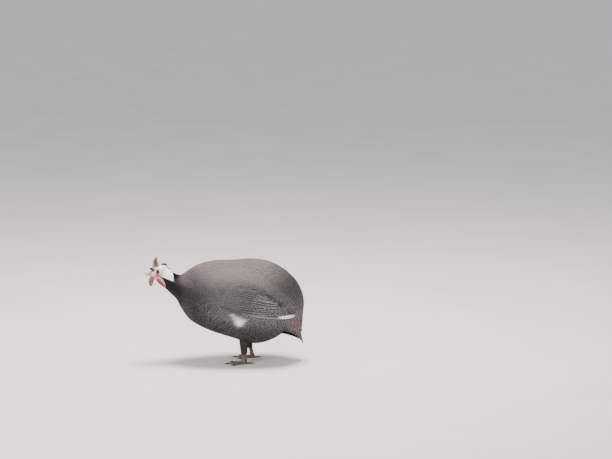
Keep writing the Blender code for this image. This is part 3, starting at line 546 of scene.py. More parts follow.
def oval_rings(centres, sides, ups, widths, heights, count):
    """Rings round a row of centres."""
    turn = circle(count)
    across = np.cos(turn)[None, :, None] * (sides * widths[:, None])[:, None, :]
    rise = np.sin(turn)[None, :, None] * (ups * heights[:, None])[:, None, :]
    return centres[:, None, :] + across + rise


def ball(name, centre, axes, radii, segments=24, rings=14):
    fall = math.pi * np.arange(1, rings) / rings
    turn = circle(segments)
    pole = axes[0] * radii[0]
    body = np.cos(fall)[:, None, None] * axes[0] * radii[0]
    body = body + (np.sin(fall)[:, None] * np.cos(turn)[None])[..., None] * axes[1] * radii[1]
    body = body + (np.sin(fall)[:, None] * np.sin(turn)[None])[..., None] * axes[2] * radii[2]
    return tube(name, centre + body, centre + pole, centre - pole)


def head_ring(centre, radius, thickness, count=40, sides=12):
    """Closed ring flat on the side of the head, such as an eyelid."""
    normal = unit(np.cross(FORWARD, UP))
    turn = circle(count)
    spin = circle(sides)
    out = FORWARD * np.cos(turn)[:, None] + UP * np.sin(turn)[:, None]
    rings = centre + out[:, None] * radius
    rings = rings + out[:, None] * (thickness * np.cos(spin))[None, :, None]
    rings = rings + normal * (thickness * np.sin(spin))[None, :, None]
    return outward(mesh_piece("ring", rings.reshape(-1, 3), strip(count, sides, True)))


def join(parts, name):
    """One mesh from several, which are removed."""
    points = []
    faces = []
    count = 0
    for part in parts:
        points.append(mesh_values(part.data))
        faces += [tuple(count + index for index in polygon.vertices) for polygon in part.data.polygons]
        count += len(part.data.vertices)
        bpy.data.objects.remove(part)
    joined = mesh_piece(name, np.vstack(points), faces)
    joined.data.shade_smooth()
    return joined


def apply_modifiers(item):
    graph = bpy.context.evaluated_depsgraph_get()
    result = bpy.data.meshes.new_from_object(item.evaluated_get(graph))
    item.modifiers.clear()
    item.data = result
    item.data.shade_smooth()


def combine(target, tools):
    """Unite closed pieces with a target and remove them."""
    group = bpy.data.collections.new("tools")
    bpy.context.scene.collection.children.link(group)
    for tool in tools:
        bpy.context.scene.collection.objects.unlink(tool)
        group.objects.link(tool)
    modifier = target.modifiers.new("join", "BOOLEAN")
    modifier.operand_type = "COLLECTION"
    modifier.collection = group
    modifier.operation = "UNION"
    modifier.solver = "MANIFOLD"
    apply_modifiers(target)
    for tool in tools:
        bpy.data.objects.remove(tool)
    bpy.data.collections.remove(group)


def remesh(item, voxel, smoothing):
    """Turn joined closed pieces into one even skin, then relax it."""
    modifier = item.modifiers.new("remesh", "REMESH")
    modifier.mode = "VOXEL"
    modifier.voxel_size = voxel
    relax = item.modifiers.new("relax", "SMOOTH")
    relax.factor = 0.5
    relax.iterations = smoothing
    apply_modifiers(item)


def mesh_values(mesh, title="co"):
    """Places or normals of a mesh's points."""
    values = np.empty(len(mesh.vertices) * 3)
    mesh.vertices.foreach_get(title, values)
    return values.reshape(-1, 3)


def set_points(mesh, points):
    mesh.vertices.foreach_set("co", np.asarray(points, np.float32).ravel())
    mesh.update()


def dress(item, colours, material, slot, *replaced):
    """Paint a piece, give it its material and tie it to the frame."""
    layer = item.data.color_attributes.new("tint", "FLOAT_COLOR", "POINT")
    values = np.ones((len(item.data.vertices), 4), np.float32)
    values[:, :3] = colours
    layer.data.foreach_set("color", values.ravel())
    item.data.materials.clear()
    item.data.materials.append(material)
    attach(item, "root")
    if replaced:
        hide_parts(*replaced)


class Look:
    """Lays the shader nodes of one material."""

    def __init__(self, name, roughness, sockets=()):
        self.material = bpy.data.materials.new(name)
        self.material.use_nodes = True
        self.tree = self.material.node_tree
        self.shader = self.tree.nodes["Principled BSDF"]
        for title, value in (("Roughness", roughness), *sockets):
            self.shader.inputs[title].default_value = value

    def node(self, kind, **settings):
        made = self.tree.nodes.new(kind)
        for key, value in settings.items():
            if hasattr(made, key):
                setattr(made, key, value)
            else:
                made.inputs[key].default_value = value
        return made

    def link(self, start, end):
        self.tree.links.new(start, end)

    def on_object(self, made):
        self.link(self.node("ShaderNodeTexCoord").outputs["Object"], made.inputs["Vector"])
        return made

    def noise(self, scale, detail=4.0, roughness=0.55):
        made = self.node("ShaderNodeTexNoise", Scale=scale, Detail=detail, Roughness=roughness)
        return self.on_object(made).outputs["Fac"]

    def ramp(self, factor, *stops):
        made = self.node("ShaderNodeValToRGB")
        for element, (position, colour) in zip(made.color_ramp.elements, stops):
            element.position = position
            element.color = (*colour, 1.0)
        self.link(factor, made.inputs["Fac"])
        return made.outputs["Color"]

    def colour(self, socket):
        self.link(socket, self.shader.inputs["Base Color"])

    def tinted(self, *shades):
        """Base colour: the painted tint times each shade."""
        socket = self.node("ShaderNodeAttribute", attribute_name="tint").outputs["Color"]
        for shade in shades:
            made = self.node("ShaderNodeMix", data_type="RGBA", blend_type="MULTIPLY")
            made.inputs[0].default_value = 1.0
            self.link(socket, made.inputs[6])
            self.link(shade, made.inputs[7])
            socket = made.outputs[2]
        self.colour(socket)

    def bump(self, height, strength, distance):
        made = self.node("ShaderNodeBump", Strength=strength, Distance=distance)
        self.link(height, made.inputs["Height"])
        self.link(made.outputs["Normal"], self.shader.inputs["Normal"])


def feather_material():
    """Plumage: the painted tint, with barbs from the feather's own map and fine mottling."""
    look = Look("plumage_look", 0.75, (("Sheen Weight", 0.02), ("Specular IOR Level", 0.18)))
    barbs = look.node(
        "ShaderNodeTexWave", Scale=9.0, Distortion=1.2, Detail=1.0,
        wave_type="BANDS", bands_direction="DIAGONAL",
    )
    look.link(look.node("ShaderNodeUVMap", uv_map="Feather").outputs["UV"], barbs.inputs["Vector"])
    mottle = look.ramp(look.noise(900.0, 3.0), (0.30, (0.72, 0.72, 0.72)), (0.70, (1.22, 1.20, 1.18)))
    strands = look.ramp(barbs.outputs["Fac"], (0.0, (0.84, 0.84, 0.84)), (1.0, (1.12, 1.12, 1.12)))
    look.tinted(mottle, strands)
    look.bump(barbs.outputs["Fac"], 0.25, 0.0002)
    return look.material


def pearl_material():
    look = Look("pearl_look", 0.75, (("Specular IOR Level", 0.2),))
    grain = look.noise(700.0, 2.0)
    look.tinted(look.ramp(grain, (0.3, (0.80, 0.80, 0.80)), (0.7, (1.05, 1.05, 1.05))))
    look.bump(grain, 0.15, 0.0001)
    return look.material


def skin_material():
    """Bare skin of the head, painted in zones, with pores and fine folds."""
    scatter = (0.004, 0.002, 0.0015)
    look = Look("skin_look", 0.48, (
        ("Subsurface Weight", 0.12), ("Subsurface Radius", scatter), ("Subsurface Scale", 0.4),
    ))
    folds = look.noise(320.0, 4.0, 0.65)
    look.tinted(look.ramp(folds, (0.30, (0.86, 0.88, 0.92)), (0.70, (1.04, 1.03, 1.02))))
    height = look.node("ShaderNodeMath", operation="ADD")
    look.link(look.noise(1400.0, 3.0), height.inputs[0])
    look.link(folds, height.inputs[1])
    look.bump(height.outputs[0], 0.45, 0.0004)
    return look.material


def horn_material(name, roughness, streaks):
    """Horn of casque, bill and claws, and skin of the wattles: painted tint with growth lines."""
    look = Look(name, roughness, (("Coat Weight", 0.25), ("Coat Roughness", 0.3)))
    lines = look.noise(streaks, 5.0, 0.7)
    look.tinted(look.ramp(lines, (0.25, (0.74, 0.72, 0.70)), (0.75, (1.16, 1.14, 1.10))))
    look.bump(lines, 0.35, 0.0003)
    return look.material


def eye_material():
    look = Look("eye_look", 0.06, (("Coat Weight", 1.0), ("Coat Roughness", 0.02), ("IOR", 1.45)))
    fleck = look.noise(2200.0, 2.0)
    look.tinted(look.ramp(fleck, (0.3, (0.7, 0.7, 0.7)), (0.7, (1.2, 1.15, 1.1))))
    return look.material


def scale_material():
    look = Look("scale_look", 0.52, (("Coat Weight", 0.12),))
    cells = look.on_object(look.node("ShaderNodeTexVoronoi", Scale=620.0, feature="DISTANCE_TO_EDGE"))
    look.tinted(look.ramp(look.noise(260.0), (0.3, (0.72, 0.70, 0.68)), (0.7, (1.25, 1.2, 1.15))))
    look.bump(cells.outputs["Distance"], 0.35, 0.0004)
    return look.material


def floor_material():
    look = Look("floor_look", 0.9)
    look.colour(look.ramp(look.noise(3.0, 5.0), (0.3, (0.74, 0.70, 0.64)), (0.7, (0.80, 0.76, 0.70))))
    look.bump(look.noise(160.0), 0.05, 0.001)
    return look.material


PLUMAGE = feather_material()
PEARL = pearl_material()
SKIN = skin_material()
CASQUE_HORN = horn_material("casque_look", 0.42, 260.0)
BILL_HORN = horn_material("bill_look", 0.36, 300.0)
CLAW_HORN = horn_material("claw_look", 0.40, 400.0)
WATTLE = horn_material("wattle_look", 0.45, 480.0)
EYE = eye_material()
SCALES = scale_material()


def coat_guide(steps=6, count=96):
    """Fine copy of the coat's outer surface, used to lay feathers on."""
    rings = body_rings(np.arange(LAST_SECTION * steps + 1) / steps, count)
    points = np.vstack([rings.reshape(-1, 3), RUMP_POINT])
    last = (len(rings) - 1) * count
    faces = strip(len(rings), count) + fan(last, count, len(points) - 1)
    return BVHTree.FromPolygons(points.tolist(), faces)


GUIDE = coat_guide()


def wing_lift(x, z):
    """How far the wing stands off the flank at a place in side view."""
    rise = np.clip((z - WING_BOTTOM) / WING_DEPTH, 0, 1)
    front = np.clip((x - WING_FRONT) / WING_FRONT_FADE, 0, 1)
    return WING_LIFT * (1 - WING_THIN_TOP * rise * rise) * (0.35 + 0.65 * front)


def wing_bare(x, z):
    """How far inside the bare part of the wing a place is; body feathers cover the rest."""
    above = np.interp(x, (0.03, 0.12, 0.16), (0.034, 0.018, 0.008))
    return np.minimum(np.interp(x, *WING_TOP) - z - above, x - 0.002)


def wing_rise(x, z):
    """How far body feathers stand off the trunk where they run over the wing."""
    soft = np.interp(x, (-0.005, 0.030), (0.030, 0.0))
    above = z - np.interp(np.maximum(x, 0.013), *WING_LOW) + soft
    low = step_up(above / (0.010 + soft), 0.4, 1.2)
    high = step_up(np.interp(np.maximum(x, 0.020), *WING_TOP) - z, -0.034, 0.010)
    front = step_up(x, -0.080, 0.004)
    rear = 1.0 - step_up(x, 0.195, 0.210)
    extra = np.interp(x, (-0.02, 0.020), (0.0030, 0.0048))
    extra = extra - 0.0024 * step_up(wing_bare(x, z), -0.012, 0.004)
    return low * high * front * rear * (wing_lift(x, z) + extra)


class Coat:
    """Feathers or spots of one piece, gathered as arrays and joined into one mesh."""

    def __init__(self):
        self.points = []
        self.faces = []
        self.tints = []
        self.maps = {"OFBake": []}
        self.count = 0

    def gather(self, points, template, tints, maps):
        """Points: items by points of each by 3. Template: the faces of one item."""
        amount, size = points.shape[:2]
        offsets = self.count + np.arange(amount) * size
        self.faces.append((template[None] + offsets[:, None, None]).reshape(-1, template.shape[1]))
        self.points.append(points.reshape(-1, 3))
        self.tints.append(tints.reshape(-1, 3))
        for title, values in maps.items():
            self.maps.setdefault(title, []).append(values.reshape(-1, 2))
        self.count += amount * size

    def feathers(self, grids, normals, thickness, tints, places):
        """Thin lenses on grids: feathers, rows, columns, 3. Places on the bake map: from 0 to 1."""
        amount, rows, columns = grids.shape[:3]
        upper_size = rows * columns
        lower_size = (rows - 2) * (columns - 2)
        inner = (slice(None), slice(1, -1), slice(1, -1))
        top = grids.copy()
        top[inner] += normals[inner] * thickness / 2
        below = grids[inner] - normals[inner] * thickness / 2
        top_index = np.arange(upper_size).reshape(rows, columns)
        low_index = top_index.copy()
        low_index[1:-1, 1:-1] = upper_size + np.arange(lower_size).reshape(rows - 2, -1)
        template = []
        for index, step in ((top_index, 1), (low_index, -1)):
            quads = (index[:-1, :-1], index[1:, :-1], index[1:, 1:], index[:-1, 1:])
            template.append(np.stack(quads[::step], axis=-1).reshape(-1, 4))

        def both(upper, lower):
            upper = upper.reshape(len(upper), upper_size, -1)
            return np.concatenate([upper, lower.reshape(len(lower), lower_size, -1)], axis=1)

        own = np.meshgrid(np.linspace(0, 1, rows), np.linspace(0, 1, columns), indexing="ij")
        own = np.stack(own[::-1], axis=-1)[None]
        own = both(own, own[inner])
        bake = places[:, None, :] + (own - 0.5) * BAKE_PATCH
        maps = {"OFBake": bake, "Feather": np.tile(own, (amount, 1, 1))}
        self.gather(both(top, below), np.concatenate(template), both(tints, tints[inner]), maps)

    def vane(self, feather, tints, place):
        """One long feather of a wing or the tail."""
        grid, normal = feather
        self.feathers(grid[None], normal[None], VANE_THICKNESS, tints[None], place[None])

    def spots(self, grids, normals, along, across, lengths, widths, tints, places):
        """Low lenses, one on each feather of grids at its shares along and across it."""
        keep = lengths > SMALLEST_SPOT
        values = (grids, normals, along, across, lengths, widths, tints, places)
        grids, normals, along, across, lengths, widths, tints, places = (value[keep] for value in values)
        centre = grid_at(grids, along, across)
        normal = unit(grid_at(normals, along, across))
        ahead = grid_at(grids, np.minimum(along + 0.03, 1), across)
        forward = unit(ahead - grid_at(grids, np.maximum(along - 0.03, 0), across))
        turn = circle(SPOT_SIDES)
        ring = centre[:, None] + forward[:, None] * np.cos(turn)[None, :, None] * lengths[:, None, None]
        side = np.cross(normal, forward)[:, None]
        ring = ring + side * np.sin(turn)[None, :, None] * widths[:, None, None]
        ring = ring + normal[:, None] * SPOT_RIM_HEIGHT
        ends = centre[:, None] + normal[:, None] * SPOT_HEIGHTS[None, :, None]
        spread = np.concatenate([np.stack([np.cos(turn), np.sin(turn)], axis=1), np.zeros((2, 2))])
        bake = places[:, None, :] + (spread * BAKE_PATCH / 2)[None]
        template = fan(0, SPOT_SIDES, SPOT_SIDES) + fan(0, SPOT_SIDES, SPOT_SIDES + 1, -1)
        points = np.concatenate([ring, ends], axis=1)
        tints = np.repeat(tints, points.shape[1], axis=0)
        self.gather(points, np.array(template), tints, {"OFBake": bake})

    def build(self, name, material, slot, *replaced):
        """Joined mesh with its maps and tints."""
        points = np.vstack(self.points)
        faces = np.vstack(self.faces)
        mesh = bpy.data.meshes.new(name)
        mesh.vertices.add(len(points))
        mesh.vertices.foreach_set("co", points.astype(np.float32).ravel())
        mesh.loops.add(faces.size)
        mesh.loops.foreach_set("vertex_index", faces.astype(np.int32).ravel())
        mesh.polygons.add(len(faces))
        mesh.polygons.foreach_set("loop_start", np.arange(0, faces.size, faces.shape[1], dtype=np.int32))
        mesh.update(calc_edges=True)
        mesh.validate()
        corners = np.empty(len(mesh.loops), np.int32)
        mesh.loops.foreach_get("vertex_index", corners)
        for title, values in self.maps.items():
            layer = mesh.uv_layers.new(name=title)
            layer.data.foreach_set("uv", np.vstack(values)[corners].astype(np.float32).ravel())
        mesh.shade_smooth()
        dress(add_object(name, mesh), np.vstack(self.tints), material, slot, *replaced)


def grid_at(grids, along, across):
    """Bilinear place on each grid: along from 0 to 1, across from -1 to 1."""
    amount, rows, columns = grids.shape[:3]
    down = np.clip(along * (rows - 1), 0, rows - 1.001)
    over = np.clip((across + 1) / 2 * (columns - 1), 0, columns - 1.001)
    row = down.astype(int)
    column = over.astype(int)
    pick = np.arange(amount)
    share = (over - column)[:, None]
    lines = [
        grids[pick, line, column] * (1 - share) + grids[pick, line, column + 1] * share
        for line in (row, row + 1)
    ]
    share = (down - row)[:, None]
    return lines[0] * (1 - share) + lines[1] * share


def row_positions(rows, shares):
    """Even shares along a feather turned into the uneven rows that it is built on."""
    return np.interp(shares, rows, np.linspace(0, 1, len(rows)))


def ribbon(spine, across, widths, columns=FEATHER_COLUMNS):
    """Grid of a flat feather along a spine."""
    return spine[:, None] + across * (widths[:, None] * columns[None])[..., None]


def coat_tint(points):
    """Ground colour of the plumage at each place: blackish neck, slate breast darkened by painted shade,
    grey-brown body with painted light over the back and painted shade over the belly and the rear, lighter
    on top of the neck root.
    """
    x, y, z = np.moveaxis(points, -1, 0)
    # Body: painted shade on the belly and the rear, painted light over the back, reaching lower towards the
    # front.
    body = layers(
        BELLY_SHADE_TONE,
        (FLANK_TONE, step_up(z, 0.075, 0.150)),
        (BACK_LIT_TONE, step_up(z - 0.5 * np.clip(-0.03 - x, 0, 0.06), 0.218, 0.290)),
        (REAR_SHADE_TONE, step_up(x, 0.12, 0.225) * step_up(z, 0.05, 0.12)),
    )
    front = layers(
        # Breast: its slate tone, darkened further as painted shade.
        BREAST_SHADED_TONE,
        (body, step_up(x + 1.2 * (z - 0.236), -0.150, -0.020)),
        (ROOT_TONE, step_up(z, 0.232, 0.254) * (1 - step_up(x, -0.118, -0.085))),
    )
    tone = blend(NECK_TONE, front, step_up(x + 0.10 * (z - 0.24), -0.152, -0.116))
    for centre_x, centre_z, wide, high, strength in PATCH_SPOTS:
        spread = ((x - centre_x) / wide) ** 2 + ((z - centre_z) / high) ** 2
        tone = blend(tone, PATCH_WHITE, strength * np.exp(-spread ** 1.5) * (y < 0))
    return tone


def rising(value, low, width):
    return min(1.0, max(0.0, (value - low) / width))


def flow(point):
    """Lie of the coat: back along the body, down the rump, along the neck."""
    x, _, z = point
    neck = 1 - rising(x, -0.165, 0.05)
    rear = rising(x, 0.150, 0.07) * rising(z, 0.10, 0.06)
    lie = np.array((1.0, 0.0, -0.20)) * (1 - neck) * (1 - rear)
    return Vector(lie + np.array((0.78, 0.0, -0.62)) * neck + np.array((0.30, 0.0, -1.0)) * rear)


def lay_feather(root, length, half_width, lift):
    """Grid of one feather that follows the coat surface from its root along the lie."""
    travelled = 0.0
    hit = Vector(root)
    near, normal, _, _ = GUIDE.find_nearest(hit)
    frames = []
    for share in FEATHER_ROWS:
        lie = flow(hit)
        lie = lie - normal * lie.dot(normal)
        lie.normalize()
        advance = length * share - travelled
        if advance > 0:
            near, normal, _, _ = GUIDE.find_nearest(near + lie * advance)
            travelled = length * share
        hit = near
        frames.append((hit, normal, lie))
    centres, normals, lies = np.array(frames).swapaxes(0, 1)
    normals = unit(normals)
    across = np.cross(normals, unit(lies))
    widths = half_width * FEATHER_WIDTHS
    grid = ribbon(centres, across[:, None], widths)
    camber = FEATHER_CAMBER * widths[:, None, None] * FEATHER_COLUMNS[None, :, None] ** 2
    return grid + normals[:, None] * (lift[:, None, None] - camber), np.repeat(normals[:, None], 3, axis=1)


def body_roots():
    """Roots of the body feathers in staggered rings: section, angle and length."""
    roots = []
    where = FIRST_ROOT_RING
    row = 0
    step = 0.05
    while where < LAST_SECTION:
        pair = np.array((where, where + step))
        lines = [body_points(pair, np.full(2, angle)) for angle in (0.0, math.pi / 2, -math.pi / 2)]
        rate = max(np.linalg.norm(line[1] - line[0]) / step for line in lines)
        length = float(np.interp(lines[0][0][0], *FEATHER_LENGTHS))
        turn = np.linspace(0, 2 * math.pi, RING_POINTS)
        ring = body_points(np.full(RING_POINTS, where), turn)
        walk = np.concatenate([[0], np.cumsum(np.linalg.norm(np.diff(ring, axis=0), axis=1))])
        count = max(10, int(walk[-1] / (length * FEATHER_ASPECT * COLUMN_STEP)))
        stops = (np.arange(count) + 0.5 * (row % 2) + rng.uniform(-0.16, 0.16, count)) / count * walk[-1]
        for angle in np.interp(np.mod(stops, walk[-1]), walk, turn):
            roots.append((where + rng.uniform(-0.05, 0.05) * length / rate, angle, length))
        where += length * ROW_STEP / rate
        row += 1
    return np.array(roots)


def on_bare_wing(point):
    """Whether a root lies on the bare wing, whose border is ragged."""
    x, y, z = point
    near = (x + rng.uniform(-0.018, 0.018), z + rng.uniform(-0.006, 0.006))
    beside = abs(y) > 0.045 and -0.075 < x < 0.205
    return beside and z > np.interp(x, *WING_LOW) + 0.004 and wing_bare(*near) > -0.001


def body_feathers():
    """Grids, normals and places of the contour feathers, lifted where they cover the wing."""
    roots = body_roots()
    feathers = []
    places = []
    for (where, angle, length), point in zip(roots, body_points(roots[:, 0], roots[:, 1])):
        if bare_skin(point) or on_bare_wing(point):
            continue
        size = length * rng.uniform(0.92, 1.10)
        depth = COAT_DEPTH * min(1.0, length / BODY_FEATHER_LENGTH)
        heights = -depth * (1 - FEATHER_ROWS) ** 1.1
        lift = heights + rng.uniform(-0.0002, 0.0003)
        feathers.append(lay_feather(point, size, size * FEATHER_ASPECT / 2, lift))
        places.append((where / LAST_SECTION, angle / (2 * math.pi)))
    grids, normals = np.array(feathers).swapaxes(0, 1)
    x, y, z = np.moveaxis(grids[:, :, 1], -1, 0)
    rise = wing_rise(x, z) * step_up(np.abs(y), 0.030, 0.055) * np.abs(normals[:, :, 1, 1])
    return grids + normals * rise[..., None, None], normals, np.array(places)


def spotting(tips):
    """How strongly the body feathers with these tips are spotted."""
    x, _, z = tips.T
    spotted = 0.22 + 0.78 * step_up(x + 0.5 * (z - 0.236), -0.140, -0.030)
    spotted = spotted * step_up(x, -0.140, -0.110)
    spotted = spotted * (1 - 0.48 * step_up(x, 0.09, 0.16) * step_up(z, 0.13, 0.19))
    return np.where((spotted < 0.1) | (coat_tint(tips).mean(axis=1) > 0.40), 0.0, spotted)


def body_coat():
    """Contour feathers of neck, breast, back, flanks and belly, with their pearls."""
    grids, normals, places = body_feathers()
    amount = len(grids)
    # Tints along each feather: painted shade at the root, a little lighter at the fringe.
    tints = coat_tint(grids) * FEATHER_SHADE_AND_FRINGE[:, None, None] * rng.uniform(0.90, 1.11, (amount, 1, 1, 1))
    tints = tints * (1 + rng.uniform(-0.025, 0.025, (amount, 1, 1, 3)))
    tips = grids[:, -1, 1]
    radii = np.interp(tips[:, 2], *BODY_PEARL) * np.sqrt(spotting(tips))
    for number, piece in enumerate(np.array_split(np.arange(amount), BODY_PIECES), 1):
        coat = Coat()
        coat.feathers(grids[piece], normals[piece], FEATHER_THICKNESS, tints[piece], places[piece])
        coat.build(f"coat_body_{number}", PLUMAGE, "plumage")
        pearls = Coat()
        for index, (along, across, scale) in enumerate(BODY_SPOT_PLACES):
            jitter = rng.uniform(-0.02, 0.02, len(piece))
            share = row_positions(FEATHER_ROWS, along + jitter)
            size = radii[piece] * scale * rng.uniform(0.85, 1.15, len(piece))
            shade = BODY_SPOT * rng.uniform(0.80, 1.0, (len(piece), 1))
            offset = places[piece] + BODY_BAKE_STEP * np.array((index % 2, index // 2))
            spot = (share, across + jitter, size * 1.08, size, shade, offset)
            pearls.spots(grids[piece], normals[piece], *spot)
        pearls.build(f"pearls_body_{number}", PEARL, "plumage")


def flank_y(sign, x, z):
    """Sideways place of the coat surface seen straight from the side."""
    hit = GUIDE.ray_cast(Vector((x, sign, z)), Vector((0, -sign, 0)))[0]
    if hit is None:
        hit = GUIDE.find_nearest(Vector((x, 0.05 * sign, z)))[0]
    return hit.y


def vane_widths(rows):
    """Share of its full width that a long feather has at each row: narrow root, round tip."""
    root = np.minimum(1.0, 0.55 + 1.8 * rows)
    tip = np.sqrt(np.clip(1 - (np.maximum(rows - 0.84, 0) / 0.165) ** 2, 0.02, 1))
    return root * tip


def wing_grid(sign, tier, index):
    """Grid of one wing feather; column 0 is its lower edge."""
    count, planned, *lines, half_width, low_lift, high_lift, _ = WING_TIERS[tier]
    root, root_step, tip, tip_step, tip_bend = np.array(lines)
    step = index * (planned - 1) / max(count - 1, 1)
    start = root + root_step * step
    end = tip + tip_step * step + tip_bend * (step * step)
    end = end + rng.uniform(-1, 1, 2) * ((0.0012 if tier == "primary" else 0.0060), 0.0012)
    along = unit(end - start)
    down = np.array((along[1], -along[0]))
    centres = start + (end - start) * VANE_ROWS[:, None]
    if tier == "primary":
        centres[:, 1] -= PRIMARY_SAG * 4 * VANE_ROWS * (1 - VANE_ROWS)
    widths = (half_width * vane_widths(VANE_ROWS))[:, None, None]
    places = centres[:, None] - down * widths * VANE_COLUMNS[None, :, None]
    level = (VANE_COLUMNS + 1) / 2
    lift = low_lift * (1 - level) + high_lift * level + 0.0006 * (1 - VANE_COLUMNS * VANE_COLUMNS)
    sink = 0.0030 * np.maximum(0.0, 1 - VANE_ROWS / 0.3)
    offset = wing_lift(places[..., 0], places[..., 1]) + lift - sink[:, None]
    flank = np.array([[flank_y(sign, *place) for place in row] for row in places])
    return np.stack([places[..., 0], flank + sign * offset, places[..., 1]], axis=-1)


def finish_grid(grid, sign):
    """Order columns so that faces look outwards, and give the outward direction."""
    if sign > 0:
        grid = grid[:, ::-1]
    return grid, unit(np.cross(np.gradient(grid, axis=0), np.gradient(grid, axis=1)))


def wing_tints(grid, sign, tier):
    """Tints of one wing feather: pale edges on secondaries, white far ends on primaries, whose dark
    elsewhere also serves as painted shade under the secondaries' edge.
    """
    tints = coat_tint(grid) * WING_TIERS[tier][-1] * rng.uniform(0.90, 1.10)
    tints = tints * np.interp(grid[..., 0], (0.09, 0.18), (1.0, 1.35))[..., None]
    if tier == "secondary":
        tints[:, 0 if sign < 0 else -1] *= 1.35
    if tier == "primary":
        bare = step_up(grid[..., 0], 0.158, 0.166)
        tints = blend(PRIMARY_DARK_AND_SHADE, PRIMARY_WHITE, np.maximum(bare, PRIMARY_EDGE[::-sign][None]))
    return tints


def wing_plumage(side):
    """Folded wing: primaries, secondaries and coverts, with rows of white spots."""
    sign = -1 if side == "left" else 1
    coat = Coat()
    pearls = Coat()
    for level, tier in enumerate(WING_TIERS):
        count = WING_TIERS[tier][0]
        for index in range(count):
            feather = finish_grid(wing_grid(sign, tier, index), sign)
            tints = wing_tints(feather[0], sign, tier)
            place = np.array((0.06 + 0.18 * level, 0.05 + 0.9 * index / count))
            coat.vane(feather, tints, place)
            if tier != "primary":
                wing_spots(pearls, feather, sign, tier, place)
    coat.build("wing_feathers_" + side, PLUMAGE, "wing_plumage", "wing_" + side)
    pearls.build("wing_pearls_" + side, PEARL, "wing_plumage")


def spot_line(pearls, feather, shares, across, lengths, widths, shade, place, level):
    """One line of spots at shares along a feather."""
    amount = len(shares)
    grids, normals = (np.broadcast_to(part, (amount, *part.shape)) for part in feather)
    offset = place + np.stack([BAKE_STEP * np.arange(amount), np.full(amount, level)], axis=1)
    positions = row_positions(VANE_ROWS, shares)
    pearls.spots(grids, normals, positions, across, lengths, widths, shade, np.mod(offset, 1.0))


def wing_spots(pearls, feather, sign, tier, place):
    """Lines of white spots on a wing feather; slanting dashes on the lower edge of secondaries."""
    long = tier == "secondary"
    length = np.linalg.norm(feather[0][-1, 2] - feather[0][0, 2])
    number = int(length * 0.97 / (SECONDARY_SPACING if long else COVERT_SPACING))
    for across, radius, shift, stretch in SECONDARY_LINES if long else COVERT_LINES:
        shares = (np.arange(number) + 0.6 + shift) / (number + 0.6)
        shares = shares + rng.uniform(-0.012, 0.012, number)
        shares = shares[(shares > 0.12) & (shares < 0.97)]
        amount = len(shares)
        size = radius * rng.uniform(0.85, 1.15, amount)
        shade = WING_SPOT * rng.uniform(0.55, 1.0, (amount, 1))
        sideways = (across + rng.uniform(-0.08, 0.08, amount)) * -sign
        level = 0.012 + 0.008 * (across + 0.8)
        spot_line(pearls, feather, shares, sideways, size * stretch, size, shade, place, level)


def tail_spots(pearls, feather, place):
    """Lines of white spots on a tail feather."""
    number = int(np.linalg.norm(feather[0][-1, 2] - feather[0][0, 2]) / TAIL_SPACING)
    for across, shift in TAIL_LINES:
        shares = (np.arange(number) + 0.6 + shift) / (number + 0.6)
        shares = shares[(shares > 0.3) & (shares < 0.96)]
        amount = len(shares)
        size = TAIL_SPOT_RADIUS * rng.uniform(0.85, 1.15, amount)
        shade = TAIL_SPOT * rng.uniform(0.85, 1.0, (amount, 1))
        level = 0.012 + 0.01 * (across + 0.6)
        spot_line(pearls, feather, shares, np.full(amount, across), size, size, shade, place, level)


def tail_line(turn, shares):
    """Places on the tail feather at a turn round the tent; a share is 0 at its root, 1 at its tip."""
    shares = shares[:, None]
    middle = math.cos(turn)
    side = abs(math.sin(turn))

    def tent(side_end, middle_end, half_width, power):
        return np.array((
            side_end[0] + (middle_end[0] - side_end[0]) * middle,
            half_width * math.sin(turn),
            middle_end[1] + (side_end[1] - middle_end[1]) * side ** power,
        ))

    root = tent(TAIL_SIDE_ROOT, TAIL_MIDDLE_ROOT, TAIL_ROOT_HALF_WIDTH, 1)
    tip = tent(TAIL_SIDE_TIP, TAIL_MIDDLE_TIP, TAIL_TIP_HALF_WIDTH, TAIL_EDGE_POWER)
    bend = TAIL_HOLLOW * 4 * shares * (1 - shares) * middle
    return root + (tip - root) * shares - bend * np.array((1.0, 0.0, 0.0))


def vane_grid(spine, along, out, offset, half_width):
    """Grid of one feather along a spine, a little arched across and set off outwards."""
    across = unit(np.cross(out, along))
    out = unit(np.cross(along, across))
    grid = ribbon(spine + out * offset, across, half_width * vane_widths(VANE_ROWS), VANE_COLUMNS)
    grid = grid + out * (0.0008 * (1 - VANE_COLUMNS ** 2))[None, :, None]
    return grid, np.broadcast_to(out, grid.shape)


def tail_grid(tier, index, sign):
    pairs, first, last, start, end, out, drop, half_width = TAIL_TIERS[tier]
    turn = sign * math.radians(first + (last - first) * index / (pairs - 1) + rng.uniform(-0.8, 0.8))
    end = start + (end - start) * rng.uniform(0.975, 1.0)
    spine = tail_line(turn, start + (end - start) * VANE_ROWS)
    offset = out - drop * index
    return vane_grid(spine, unit(spine[-1] - spine[0]), level_direction(turn), offset, half_width)


def under_tail_grid(row, index):
    """Feather under the tail; rows run from the tail's tip towards the vent."""
    share = 2 * (index + 0.5 * (row % 2) + 0.25) / UNDER_TAIL_COUNT - 1
    y = 0.030 * share * (1 - 0.25 * (row == 0))
    root = np.array((UNDER_TAIL_ROOT[0] - 0.012 * row, y * 1.1, UNDER_TAIL_ROOT[1] - 0.002 * row))
    tip = np.array((UNDER_TAIL_TIP[0] - 0.013 * row, y, UNDER_TAIL_TIP[1] + 0.0075 * row))
    tip = tip + np.array((-1.0, 0.0, 0.9)) * abs(y) * 0.45
    spine = root + (tip - root) * VANE_ROWS[:, None]
    below = np.array((-0.6, 0.0, -0.8))
    return vane_grid(spine, unit(tip - root), below, 0.0012 * row, UNDER_TAIL_HALF_WIDTH)


